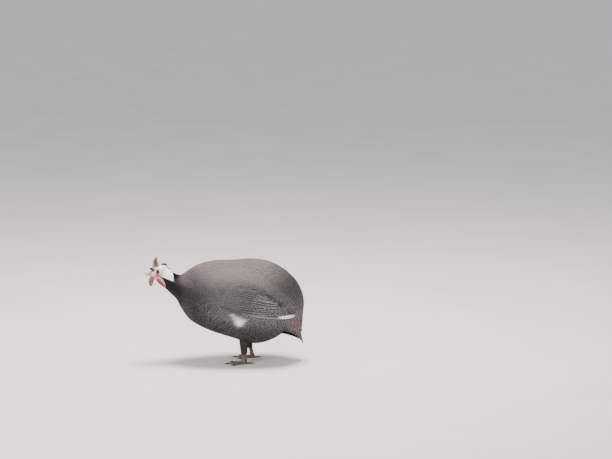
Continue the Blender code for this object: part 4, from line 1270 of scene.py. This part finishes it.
def tail_feathers():
    """Every feather of the tail with its level on the bake map and its share of that level."""
    feathers = []
    for level, (tier, row) in enumerate(TAIL_TIERS.items()):
        for index in range(row[0]):
            for sign in (-1, 1):
                share = (index + 0.5 * (sign + 1) / 2) / row[0]
                feathers.append((tail_grid(tier, index, sign), level, share))
    for row in range(UNDER_TAIL_ROWS):
        for index in range(UNDER_TAIL_COUNT):
            level = len(TAIL_TIERS) + 0.5 * row
            feathers.append((under_tail_grid(row, index), level, index / UNDER_TAIL_COUNT))
    return feathers


def tail_plumage():
    """Drooping tail: rectrices under tiers of coverts, spotted."""
    coat = Coat()
    pearls = Coat()
    for feather, level, share in tail_feathers():
        tone = TAIL_TONE * rng.uniform(0.9, 1.1)
        fade = np.interp(VANE_ROWS, (0, 0.72, 0.9, 1), (0.85, 1.0, 0.75, 0.45))
        if level == 0:
            fade = fade * np.interp(VANE_ROWS, (0.6, 0.85), (1.0, 0.35))
        # Feathers under the tail are darkened as painted shade.
        if level >= len(TAIL_TIERS):
            fade = fade * 0.38
        place = np.array((0.05 + 0.15 * level, 0.05 + 0.9 * share))
        tints = np.broadcast_to(tone, feather[0].shape) * fade[:, None, None]
        coat.vane(feather, tints, place)
        tail_spots(pearls, feather, place)
    coat.build("tail_feathers", PLUMAGE, "tail_plumage", "tail")
    pearls.build("tail_pearls", PEARL, "tail_plumage")


def skull_rings(sections, count, steps):
    """Rings of the skull or the bill through their sections."""
    rows = spline(sections, np.arange((len(sections) - 1) * steps + 1) / steps)
    middle = (rows[:, 1] + rows[:, 2]) / 2
    centres = head_to_world(np.stack([rows[:, 0], np.zeros(len(rows)), middle], axis=1))
    return oval_rings(centres, LEFT, UP, rows[:, 3], (rows[:, 1] - rows[:, 2]) / 2, count)


def head_skin():
    """Bare skin of the head and upper neck: skull, lids, brows, ears, cere and gape in one surface."""
    parts = [tube("skull", skull_rings(SKULL_SECTIONS, 48, 6))]
    parts.append(tube("upper_neck", body_rings(np.arange(0, 3.01, 0.1), 48, 0.0006)))
    share = np.linspace(0, 1, 12)
    swell = 0.0017 * np.sin(math.pi * (0.15 + 0.8 * share)) + 0.0003
    for sign in (1, -1):
        mirror = (1, sign, 1)
        lid = head_to_world((0, LID_SIDE * sign, 0))
        parts.append(head_ring(lid, LID_RING_RADIUS, LID_THICKNESS))
        parts.append(head_ring(lid - LEFT * 0.0006 * sign, LID_RING_RADIUS * 1.42, LID_THICKNESS * 0.8))
        parts.append(head_ring(head_to_world(EAR_PLACE * mirror), EAR_RADIUS, EAR_RIM))
        parts.append(ball("cere", head_to_world(CERE_PLACE * mirror), HEAD_AXES, CERE_RADII))
        route = head_to_world(blend(GAPE_START, GAPE_END, share) * mirror)
        parts.append(tube("gape", oval_rings(route, LEFT, UP, swell, swell, 14)))
    skin = join(parts, "skin")
    remesh(skin, HEAD_VOXEL, 3)
    return skin


def carve_head(skin):
    """Sink sockets, nostrils, ear holes and the line of the mouth into the head's skin."""
    normals = mesh_values(skin.data, "normal")
    local = world_to_head(mesh_values(skin.data))
    spread = np.hypot(local[:, 0], local[:, 2])
    for sign in (1, -1):
        inside = (local[:, 1] * sign > 0.004) & (spread < SOCKET_RADIUS)
        depth = np.clip(local[:, 1] * sign - EYE_SIDE + 0.0010, 0, None)
        depth = depth * (1 - (spread / SOCKET_RADIUS) ** 6)
        local[inside, 1] -= sign * depth[inside]
    points = head_to_world(local)
    share = np.clip((local[:, 0] - GAPE_END[0]) / (GAPE_START[0] - GAPE_END[0]), 0, 1)
    for sign in (1, -1):
        mirror = (1, sign, 1)
        nostril = (local - NOSTRIL_PLACE * mirror) / NOSTRIL_RADII
        height = np.abs(local[:, 2] - blend(GAPE_END, GAPE_START, share)[:, 2])
        on_line = (local[:, 1] * sign > 0.004) * (local[:, 0] > GAPE_END[0]) * (local[:, 0] < 0.018)
        for depth in (
            NOSTRIL_DEPTH * np.exp(-np.sum(nostril ** 2, axis=1)),
            EAR_DEPTH * bump_at(local, EAR_PLACE * mirror, 0.0016),
            MOUTH_DEPTH * (np.exp(-(height / MOUTH_WIDTH) ** 2) * on_line),
        ):
            points -= normals * depth[:, None]
    set_points(skin.data, points)


def near_line(points, start, end, reach):
    """Share from 1 on the line between two places of the head to 0 away from it."""
    start, end = np.array(start), np.array(end)
    along = end - start
    share = np.clip((points - start) @ along / (along @ along), 0, 1)
    distance = np.linalg.norm(points - start - share[:, None] * along, axis=1)
    return np.exp(-(distance / reach) ** 2)


def head_colours(points):
    """Zones of the bare skin: white with bluish folds, pink cheek, dark cere and lids, painted shade along
    the brow and in the nostrils.
    """
    local = world_to_head(points)
    forward, _, up = local.T
    beside = np.abs(local[:, 1])
    mirrored = np.stack([forward, beside, up], axis=1)
    flat = mirrored[:, [0, 2]]
    folds = np.sin(points[:, 0] * 900 + 2.2 * np.sin(points[:, 2] * 640)) * np.sin(points[:, 2] * 760 + 1.3)
    behind = step_up(-forward, 0.006, 0.014)
    cheek = bump_at(flat * (0.55, 1.0), (0.0010, -0.0100), 0.0052) * (beside > 0.004)
    lids = (1 - step_up(np.hypot(forward, up), 0.0056, 0.0068)) * (beside > 0.007)
    crest = (1 - step_up(beside, 0.0018, 0.0036)) * step_up(-forward, 0.0200, 0.0240) * (up > -0.012)
    covered = [not bare_skin(point) and place < -0.020 for point, place in zip(points, forward)]
    edge = step_up(-bare_depth(points[:, 0], points[:, 2]), -0.001, 0.002)
    edge = edge * np.maximum(forward < -0.0135, step_up(-up, 0.0150, 0.0175))
    colours = layers(
        np.tile(WHITE, (len(points), 1)),
        (BLUE, 0.50 * step_up(folds, 0.55, 0.95) * behind),
        (LILAC, 0.8 * bump_at(flat, (0.0085, -0.0010), 0.0050)),
        (PINK, np.clip(1.25 * cheek, 0, 0.95)),
        (RED, step_up(-up, 0.0100, 0.0135) * step_up(forward, -0.014, -0.004)),
        (RED * 0.8, 0.7 * near_line(mirrored, GAPE_START, GAPE_END, 0.0016)),
        (DARK, step_up(forward, 0.0050, 0.0080) * step_up(up, 0.0030, 0.0052)),
        # Painted shade along the brow, under the casque.
        (BROW_SHADE_GREY, 0.85 * near_line(flat, (0.0090, 0.0082), (-0.0030, 0.0076), 0.0026)),
        (CASQUE_FOOT, 0.8 * bump_at(flat * (0.5, 1.0), (-0.0025, 0.0150), 0.0034)),
        (DARK * 1.6, 0.96 * lids),
        (EAR_RED, bump_at(mirrored, EAR_PLACE, 0.0026)),
        # Painted shade in the nostril.
        (DARK * 0.5, bump_at(mirrored, NOSTRIL_PLACE, 0.0012)),
        (DARK, crest),
        (DARK, np.maximum(np.array(covered, float), edge)),
    )
    return np.clip(colours, 0, 1)


def body_skin():
    """Skin of the trunk, inside the coat by its depth."""
    where = np.arange(0.6, LAST_SECTION + 0.001, 0.2)
    inset = COAT_DEPTH + SKIN_BELOW_COAT
    fade = np.interp(where, (0.6, 2.5, 4.5), (0.0010, 0.0016, inset))
    return tube("body_skin", body_rings(where, 72, fade), None, RUMP_POINT - np.array((inset, 0, 0)))


def leg_line(side, heights):
    """Middle of the leg at each height."""
    ankle = np.array((*LEGS[side]["ankle"], ANKLE_HEIGHT))
    hock = np.array((*LEGS[side]["hock"], HOCK_HEIGHT))
    return blend(ankle, hock, (heights - ANKLE_HEIGHT) / (HOCK_HEIGHT - ANKLE_HEIGHT))


def thigh_radii(side, heights):
    radii = np.interp(heights, np.linspace(THIGH_CUFF, THIGH_TOP, 5), THIGH_RADII[::-1])
    return radii * LEGS[side]["girth"] * np.interp(heights, *THIGH_TAPER)


def leg_rings(side, heights, widths, depths, count):
    across, along, _ = np.eye(3)
    return oval_rings(leg_line(side, heights), across, along, widths, depths, count)


def thigh_skin(side):
    heights = np.linspace(THIGH_TOP, THIGH_CUFF + 0.002, 24)
    radii = thigh_radii(side, heights) - THIGH_SKIN_INSET
    return tube("thigh_skin_" + side, leg_rings(side, heights, radii, radii, 36))


def make_skin():
    """One skin under the whole coat."""
    skin = head_skin()
    carve_head(skin)
    combine(skin, [body_skin(), thigh_skin("left"), thigh_skin("right")])
    skin.data.name = "skin"
    points = mesh_values(skin.data)
    colours = np.tile(SKIN_GREY, (len(points), 1))
    on_head = points[:, 0] < -0.140
    colours[on_head] = head_colours(points[on_head])
    dress(skin, colours, SKIN, "face_skin", "torso", "neck", "head", "thigh_left", "thigh_right")
    return skin


def thigh_feather(centre, radius, turn):
    """Soft feather that hangs from a place round the thigh."""
    out = level_direction(turn)
    length = THIGH_FEATHER_LENGTH * rng.uniform(0.85, 1.1)
    lean = unit(np.array((0.0, 0.0, -1.0)) - out * 0.34)
    across = unit(np.cross(out, lean))
    normal = unit(np.cross(lean, across))
    lift = np.interp(FEATHER_ROWS, (0, 0.5, 1), (-0.0016, 0.0, 0.0002))
    spine = centre + out * radius + lean * (length * FEATHER_ROWS)[:, None]
    grid = ribbon(spine + normal * lift[:, None], across, THIGH_FEATHER_HALF_WIDTH * FEATHER_WIDTHS)
    return grid, np.broadcast_to(normal, grid.shape)


def thigh_coat():
    """Short soft feathers round the hocks, pointing down."""
    coat = Coat()
    for order, side in enumerate(LEGS):
        feathers = []
        places = []
        for row in range(THIGH_ROWS):
            height = np.array((THIGH_FIRST_ROW - THIGH_ROW_STEP * row,))
            centre = leg_line(side, height)[0]
            radius = float(thigh_radii(side, height)[0])
            count = max(12, int(2 * math.pi * radius / THIGH_COLUMN_STEP))
            for index in range(count):
                turn = 2 * math.pi * (index + 0.5 * (row % 2)) / count
                feathers.append(thigh_feather(centre, radius, turn))
                places.append((0.1 + 0.45 * order + 0.025 * row, 0.02 + 0.96 * index / count))
        grids, normals = np.array(feathers).swapaxes(0, 1)
        upper = step_up(grids[:, 0, 1, 2], 0.066, 0.082)[:, None, None]
        tints = blend(THIGH_TONE, coat_tint(grids) + 0.012, upper)
        tints = tints * rng.uniform(0.8, 1.1, (len(grids), 1, 1, 1))
        coat.feathers(grids, normals, THIGH_THICKNESS, tints, np.array(places))
    coat.build("coat_thighs", PLUMAGE, "plumage")


def make_eye(side):
    """Glossy eyeball with a black pupil and a dark brown iris."""
    sign = 1 if side == "left" else -1
    axes = np.array((LEFT * sign, FORWARD, UP))
    eye = ball("eyeball_" + side, head_to_world((0, EYE_SIDE * sign, 0)), axes, (EYE_RADIUS,) * 3, 48, 40)
    local = world_to_head(mesh_values(eye.data))
    spread = np.hypot(local[:, 0], local[:, 2])
    colours = np.tile(PUPIL_BLACK, (len(local), 1))
    colours[(spread > PUPIL_RADIUS) & (spread < IRIS_RADIUS)] = IRIS_BROWN
    dress(eye, colours, EYE, "eye", "eye_" + side)


def make_bill(name):
    """Pale horn, pink at its base, with painted shade in the nostril."""
    bill = tube(name + "_horn", skull_rings(BILL_SECTIONS[name], 32, 8))
    local = world_to_head(mesh_values(bill.data))
    local[:, 1] = np.abs(local[:, 1])
    nostril = bump_at(local, BILL_NOSTRIL, 0.0017)
    colours = layers(
        BILL_BASE,
        (BILL_PALE, step_up(local[:, 0], 0.014, 0.027)),
        # Painted shade in the nostril.
        (NOSTRIL_SHADE, np.clip(1.3 * nostril, 0, 1)),
    )
    dress(bill, colours, BILL_HORN, "bill_horn", name)


def make_casque():
    """Tall curved casque, brown in front with a painted peach highlight behind, with growth ridges and a
    dent on each side.
    """
    rows = spline(CASQUE_SECTIONS, np.arange(0, len(CASQUE_SECTIONS) - 0.99, 0.12))
    centres = head_to_world(np.stack([rows[:, 1], np.zeros(len(rows)), rows[:, 0]], axis=1))
    casque = tube("casque_horn", oval_rings(centres, FORWARD, LEFT, rows[:, 2], rows[:, 3], 44))
    points = mesh_values(casque.data)
    forward, left, up = world_to_head(points).T
    ridges = np.sin(up * 2400 + 3 * np.sin(forward * 500)) * 0.00014
    hollow = bump_at(np.stack([forward, up], axis=1), (-0.006, 0.024), 0.007)
    dents = -0.0007 * np.exp(-((np.abs(left) - 0.004) / 0.002) ** 2) * hollow
    set_points(casque.data, points + mesh_values(casque.data, "normal") * (ridges + dents)[:, None])
    # Painted highlight on the rear face, below the top.
    behind = step_up(-forward - 0.5 * np.abs(left), 0.0035, 0.0085)
    root = 1 - step_up(up, 0.0155, 0.0205)
    colours = layers(
        CASQUE_BROWN,
        (CASQUE_HIGHLIGHT_PEACH, behind * (1 - step_up(up, 0.033, 0.040))),
        (CASQUE_ROOT, 0.75 * root * step_up(forward, -0.012, -0.004)),
    )
    dress(casque, colours, CASQUE_HORN, "casque_horn", "casque")


def make_wattle(side):
    """Cupped flap, dark red as painted shade and pink on its rim as painted highlight; the far one salmon
    as painted light, with a dark red shaded edge and a brownish edge.
    """
    sign = 1 if side == "left" else -1
    root, tip = np.array(WATTLES[side])
    down = unit(tip - root)
    forward = np.array((1.0, 0.0, 0.0))
    across = unit(forward - down * (forward @ down))
    out = unit(np.cross(across, down))
    out = out if out[1] * sign > 0 else -out
    share = np.linspace(0, 1, WATTLE_STEPS)[:, None]
    swell = np.sin(math.pi * np.minimum(0.22 + 0.78 * share, 0.985)) ** 0.6
    turn = circle(WATTLE_STEPS)
    sideways = np.cos(turn)[None]
    bow = WATTLE_CUP * np.sin(math.pi * share) - WATTLE_CUP * sideways ** 2 * swell
    wave = 0.0005 * np.sin(9 * share + 5 * sideways)
    thick = WATTLE_THICKNESS / 2 * (0.55 + 0.45 * swell) * np.sin(turn)[None]
    length = np.linalg.norm(tip - root)
    local = root + down * (length * share)[..., None] + out * (bow + wave + thick)[..., None]
    local = local + across * (WATTLE_HALF_WIDTH * swell * sideways)[..., None]
    wattle = tube("wattle_skin_" + side, head_to_world(local))
    place = np.tile(np.cos(turn), WATTLE_STEPS)
    inner = (WATTLE_PINK, 0.25 * step_up(-np.tile(np.sin(turn), WATTLE_STEPS), 0.2, 0.8))
    if side == "left":
        # Near wattle: red under painted shade, a painted pink highlight along one rim, and a pink top band.
        colours = layers(
            WATTLE_SHADE_RED,
            (WATTLE_PINK, np.clip(1 - step_up(place, -0.15, 0.45), 0, 1)),
            (WATTLE_PINK, 1 - step_up(np.repeat(share, WATTLE_STEPS), 0.10, 0.28)),
            inner,
        )
    else:
        # Far wattle: salmon as painted light, with a dark red edge of painted shade and a brownish edge.
        colours = layers(
            WATTLE_LIT_SALMON,
            (WATTLE_SHADE_RED, 1 - step_up(place, -0.75, -0.30)),
            (WATTLE_BROWN, 0.8 * step_up(place, 0.70, 0.95)),
            inner,
        )
    dress(wattle, np.vstack([colours, WATTLE_SHADE_RED, WATTLE_PINK]), WATTLE, "wattle_skin", "wattle_" + side)


def shank(side):
    """Lower leg with plates down its front and small scales behind."""
    heights = np.linspace(SHANK_TOP, SHANK_LOW, 150)
    radii = np.interp(heights, np.linspace(SHANK_LOW, SHANK_TOP, 5), SHANK_RADII) * LEGS[side]["girth"]
    rings = leg_rings(side, heights, radii, radii * SHANK_FLATTEN, 40)
    turn = circle(40)
    front = np.clip(-np.cos(turn), 0, 1)[None]
    plate = np.mod(heights / SHANK_PLATE, 1.0)[:, None]
    scute = 0.00055 * (1 - plate) ** 2 * step_up(front, 0.15, 0.6)
    behind = 0.00016 * np.sin(heights / 0.00042)[:, None] * np.sin(turn * 9)[None] * (1 - front)
    out = unit(rings - leg_line(side, heights)[:, None])
    return tube("leg_" + side, rings + out * (scute + behind)[..., None])


def toe(centre, along, length, radius):
    """Toe with knuckles and plates over its top."""
    share = np.linspace(0, 1, 70)
    size = radius * (1 - 0.38 * share) * (1 + 0.14 * np.cos(2 * math.pi * 3 * share))
    above = np.array((0, 0, 1.0))
    route = centre + along * (length * share)[:, None] + above * (size * TOE_FLATTEN)[:, None]
    rings = oval_rings(route, np.cross(above, along), above, size, size * TOE_FLATTEN, 24)
    top = np.clip(np.sin(circle(24)), 0, 1)[None]
    scute = 0.00042 * np.mod(share * length / TOE_PLATE, 1.0)[:, None] ** 2 * step_up(top, 0.1, 0.6)
    return tube("toe", rings + unit(rings - route[:, None]) * scute[..., None])


def claw(centre, along, length, radius):
    """Pointed claw that curves down to the floor."""
    share = np.linspace(0, 1, 16)
    above = np.array((0, 0, 1.0))
    height = radius * 0.62 * 0.95
    start = centre + along * (length - CLAW_OVERLAP) + above * height
    route = start + along * ((CLAW_LENGTH + CLAW_OVERLAP) * share)[:, None]
    route[:, 2] += 0.0010 * np.sin(math.pi * share) - (height - 0.0011) * share ** 2
    size = 0.0021 * (1 - share) ** 0.7 + 0.00035
    return tube("claw", oval_rings(route, np.cross(above, along), above, size * 0.8, size, 14))


def keep_above(item, height):
    """Flatten what would sink into the floor."""
    points = mesh_values(item.data)
    points[:, 2] = np.maximum(points[:, 2], height)
    set_points(item.data, points)


def make_leg(side):
    """Scaled shank and toes in one skin, and the claws."""
    centre = np.array((*LEGS[side]["ankle"], 0.0))
    parts = [ball("pad", centre + (0, 0, PAD_HEIGHT), np.eye(3), PAD_RADII)]
    claws = []
    leg = shank(side)
    for splay, length, radius in TOES:
        heading = math.pi + LEGS[side]["turn"] + splay * (1 if side == "left" else -1)
        along = level_direction(heading)
        parts.append(toe(centre, along, length, radius))
        claws.append(claw(centre, along, length, radius))
    combine(leg, parts)
    keep_above(leg, SOLE_HEIGHT)
    share = step_up(mesh_values(leg.data)[:, 2], 0.0, 0.012)
    dress(leg, blend(SCALE_LIGHT, SCALE_DARK, share), SCALES, "leg_scale", "shank_" + side, "foot_" + side)
    claw_set = join(claws, "claws_" + side)
    keep_above(claw_set, CLAW_SOLE_HEIGHT)
    dress(claw_set, CLAW_GREY, CLAW_HORN, "leg_scale")


def tuft_bristles(count):
    """Tuft behind the casque: index, root, direction and side of each bristle."""
    for index in range(count):
        offset = rng.normal(0, 0.0026)
        root = head_to_world((-0.0225 - abs(rng.normal(0, 0.0022)), offset, 0.0132))
        direction = UP - FORWARD * rng.uniform(0.5, 1.2) + LEFT * offset * 90
        yield index, root, direction, LEFT


def nape_bristles(count):
    """Hackles over the nape."""
    for index in range(count):
        share = rng.uniform(0, 1)
        y = rng.normal(0, 0.0085)
        hit = GUIDE.ray_cast(Vector((-0.1525 + 0.0140 * share, y, 1)), Vector((0, 0, -1)))[0]
        if hit is None or hit.z < 0.20:
            continue
        direction = (0.80, 9 * y, 0.30 - 0.55 * (1 - share) + rng.uniform(-0.15, 0.25))
        root = np.array(hit) - np.array((0, 0, 0.0012))
        yield index, root, direction, (0, 1, 0)


def crown_bristles(count, surface):
    """Strip from the crown down the back of the neck."""
    for index in range(count):
        shift = rng.uniform(0, 1)
        y = rng.normal(0, 0.0019)
        above = Vector(head_to_world((-0.0240 - 0.0340 * shift, y, 0.03)))
        hit = surface.ray_cast(above, Vector(-UP))[0]
        if hit is None:
            continue
        direction = -FORWARD + UP * rng.uniform(0.0, 0.45) * (1 - 1.6 * shift) + LEFT * y * 60
        yield index, np.array(hit), direction, LEFT


def cere_bristles(count):
    """Short bristles over the cere."""
    for index in range(count):
        forward = rng.uniform(0.0060, 0.0150)
        turn = rng.uniform(-1.25, 1.25)
        radius = float(np.interp(forward, (0.004, 0.010, 0.016), (0.0138, 0.0124, 0.0098)))
        root = head_to_world((forward, radius * 0.78 * math.sin(turn), radius * math.cos(turn) - 0.0005))
        direction = FORWARD * 0.8 + (root - HEAD_CENTRE - FORWARD * forward) / radius * 0.45
        yield index, root, direction, LEFT


def make_bristles(skin):
    """Black bristles and hackles of the head and neck."""
    surface = BVHTree.FromObject(skin, bpy.context.evaluated_depsgraph_get())
    makers = {
        "tuft": tuft_bristles,
        "nape": nape_bristles,
        "crown": lambda count: crown_bristles(count, surface),
        "cere": cere_bristles,
    }
    share = np.linspace(0, 1, len(BRISTLE_SHAPE))
    feathers = []
    places = []
    for name, (group, count, shortest, longest, half_width) in BRISTLES.items():
        for index, root, direction, side in makers[name](count):
            length = rng.uniform(shortest, longest)
            direction = unit(np.asarray(direction, float))
            side = unit(np.asarray(side, float))
            normal = unit(np.cross(direction, side))
            droop = -0.18 * share ** 2 * length
            spine = root + direction * (length * share)[:, None] + normal * droop[:, None]
            grid = ribbon(spine, side, half_width * BRISTLE_SHAPE)
            feathers.append((grid, np.broadcast_to(normal, grid.shape)))
            places.append((0.1 + 0.2 * group + 0.004 * (index % 40), 0.1 + 0.004 * (index // 40)))
    grids, normals = np.array(feathers).swapaxes(0, 1)
    tints = np.broadcast_to(BRISTLE_TONE, grids.shape) * rng.uniform(0.7, 1.5, (len(grids), 1, 1, 1))
    coat = Coat()
    coat.feathers(grids, normals, BRISTLE_THICKNESS, tints, np.array(places))
    coat.build("bristles", PLUMAGE, "neck_plumage")


def aim(item, place, direction):
    item.location = place
    item.rotation_euler = Vector(direction).to_track_quat("-Z", "Y").to_euler()


def make_camera():
    """Camera of the photograph: it looks down a little, with the bird left of the middle."""
    level = np.array((math.sin(CAMERA_HEADING), math.cos(CAMERA_HEADING), 0.0))
    up = np.array((0.0, 0.0, 1.0))
    ahead = level * math.cos(CAMERA_PITCH) - up * math.sin(CAMERA_PITCH)
    right = np.array((math.cos(CAMERA_HEADING), -math.sin(CAMERA_HEADING), 0.0))
    above = np.cross(right, ahead)
    sideways = (BIRD_PIXEL[0] - IMAGE_WIDTH / 2) / FOCAL_PIXELS * CAMERA_DEPTH
    rise = -(BIRD_PIXEL[1] - IMAGE_HEIGHT / 2) / FOCAL_PIXELS * CAMERA_DEPTH
    data = bpy.data.cameras.new("camera")
    data.sensor_width = SENSOR_WIDTH
    data.sensor_fit = "HORIZONTAL"
    data.lens = FOCAL_PIXELS / IMAGE_WIDTH * SENSOR_WIDTH
    camera = add_object("camera", data)
    aim(camera, -(ahead * CAMERA_DEPTH + right * sideways + above * rise), ahead)
    bpy.context.scene.camera = camera


def make_light(name):
    place, size, watts, colour = LIGHTS[name]
    data = bpy.data.lights.new(name, "AREA")
    data.shape = "DISK"
    data.size = size
    data.energy = watts
    data.color = colour
    aim(add_object(name, data), place, Vector(LIGHT_TARGET) - Vector(place))


def make_studio():
    """Pale floor under soft light."""
    corners = [(x * FLOOR_HALF, y * FLOOR_HALF, 0) for x, y in ((-1, -1), (1, -1), (1, 1), (-1, 1))]
    floor = mesh_piece("studio_floor", corners, [(0, 1, 2, 3)])
    floor.data.materials.append(floor_material())
    world = bpy.data.worlds.new("studio")
    world.use_nodes = True
    background = world.node_tree.nodes["Background"]
    background.inputs["Color"].default_value = SKY_COLOUR
    background.inputs["Strength"].default_value = SKY_STRENGTH
    bpy.context.scene.world = world
    for name in LIGHTS:
        make_light(name)


make_camera()
make_studio()
bird_skin = make_skin()
for bird_side in ("left", "right"):
    make_eye(bird_side)
for bill_half in BILL_SECTIONS:
    make_bill(bill_half)
make_casque()
for bird_side in ("left", "right"):
    make_wattle(bird_side)
    make_leg(bird_side)
    wing_plumage(bird_side)
body_coat()
thigh_coat()
tail_plumage()
make_bristles(bird_skin)
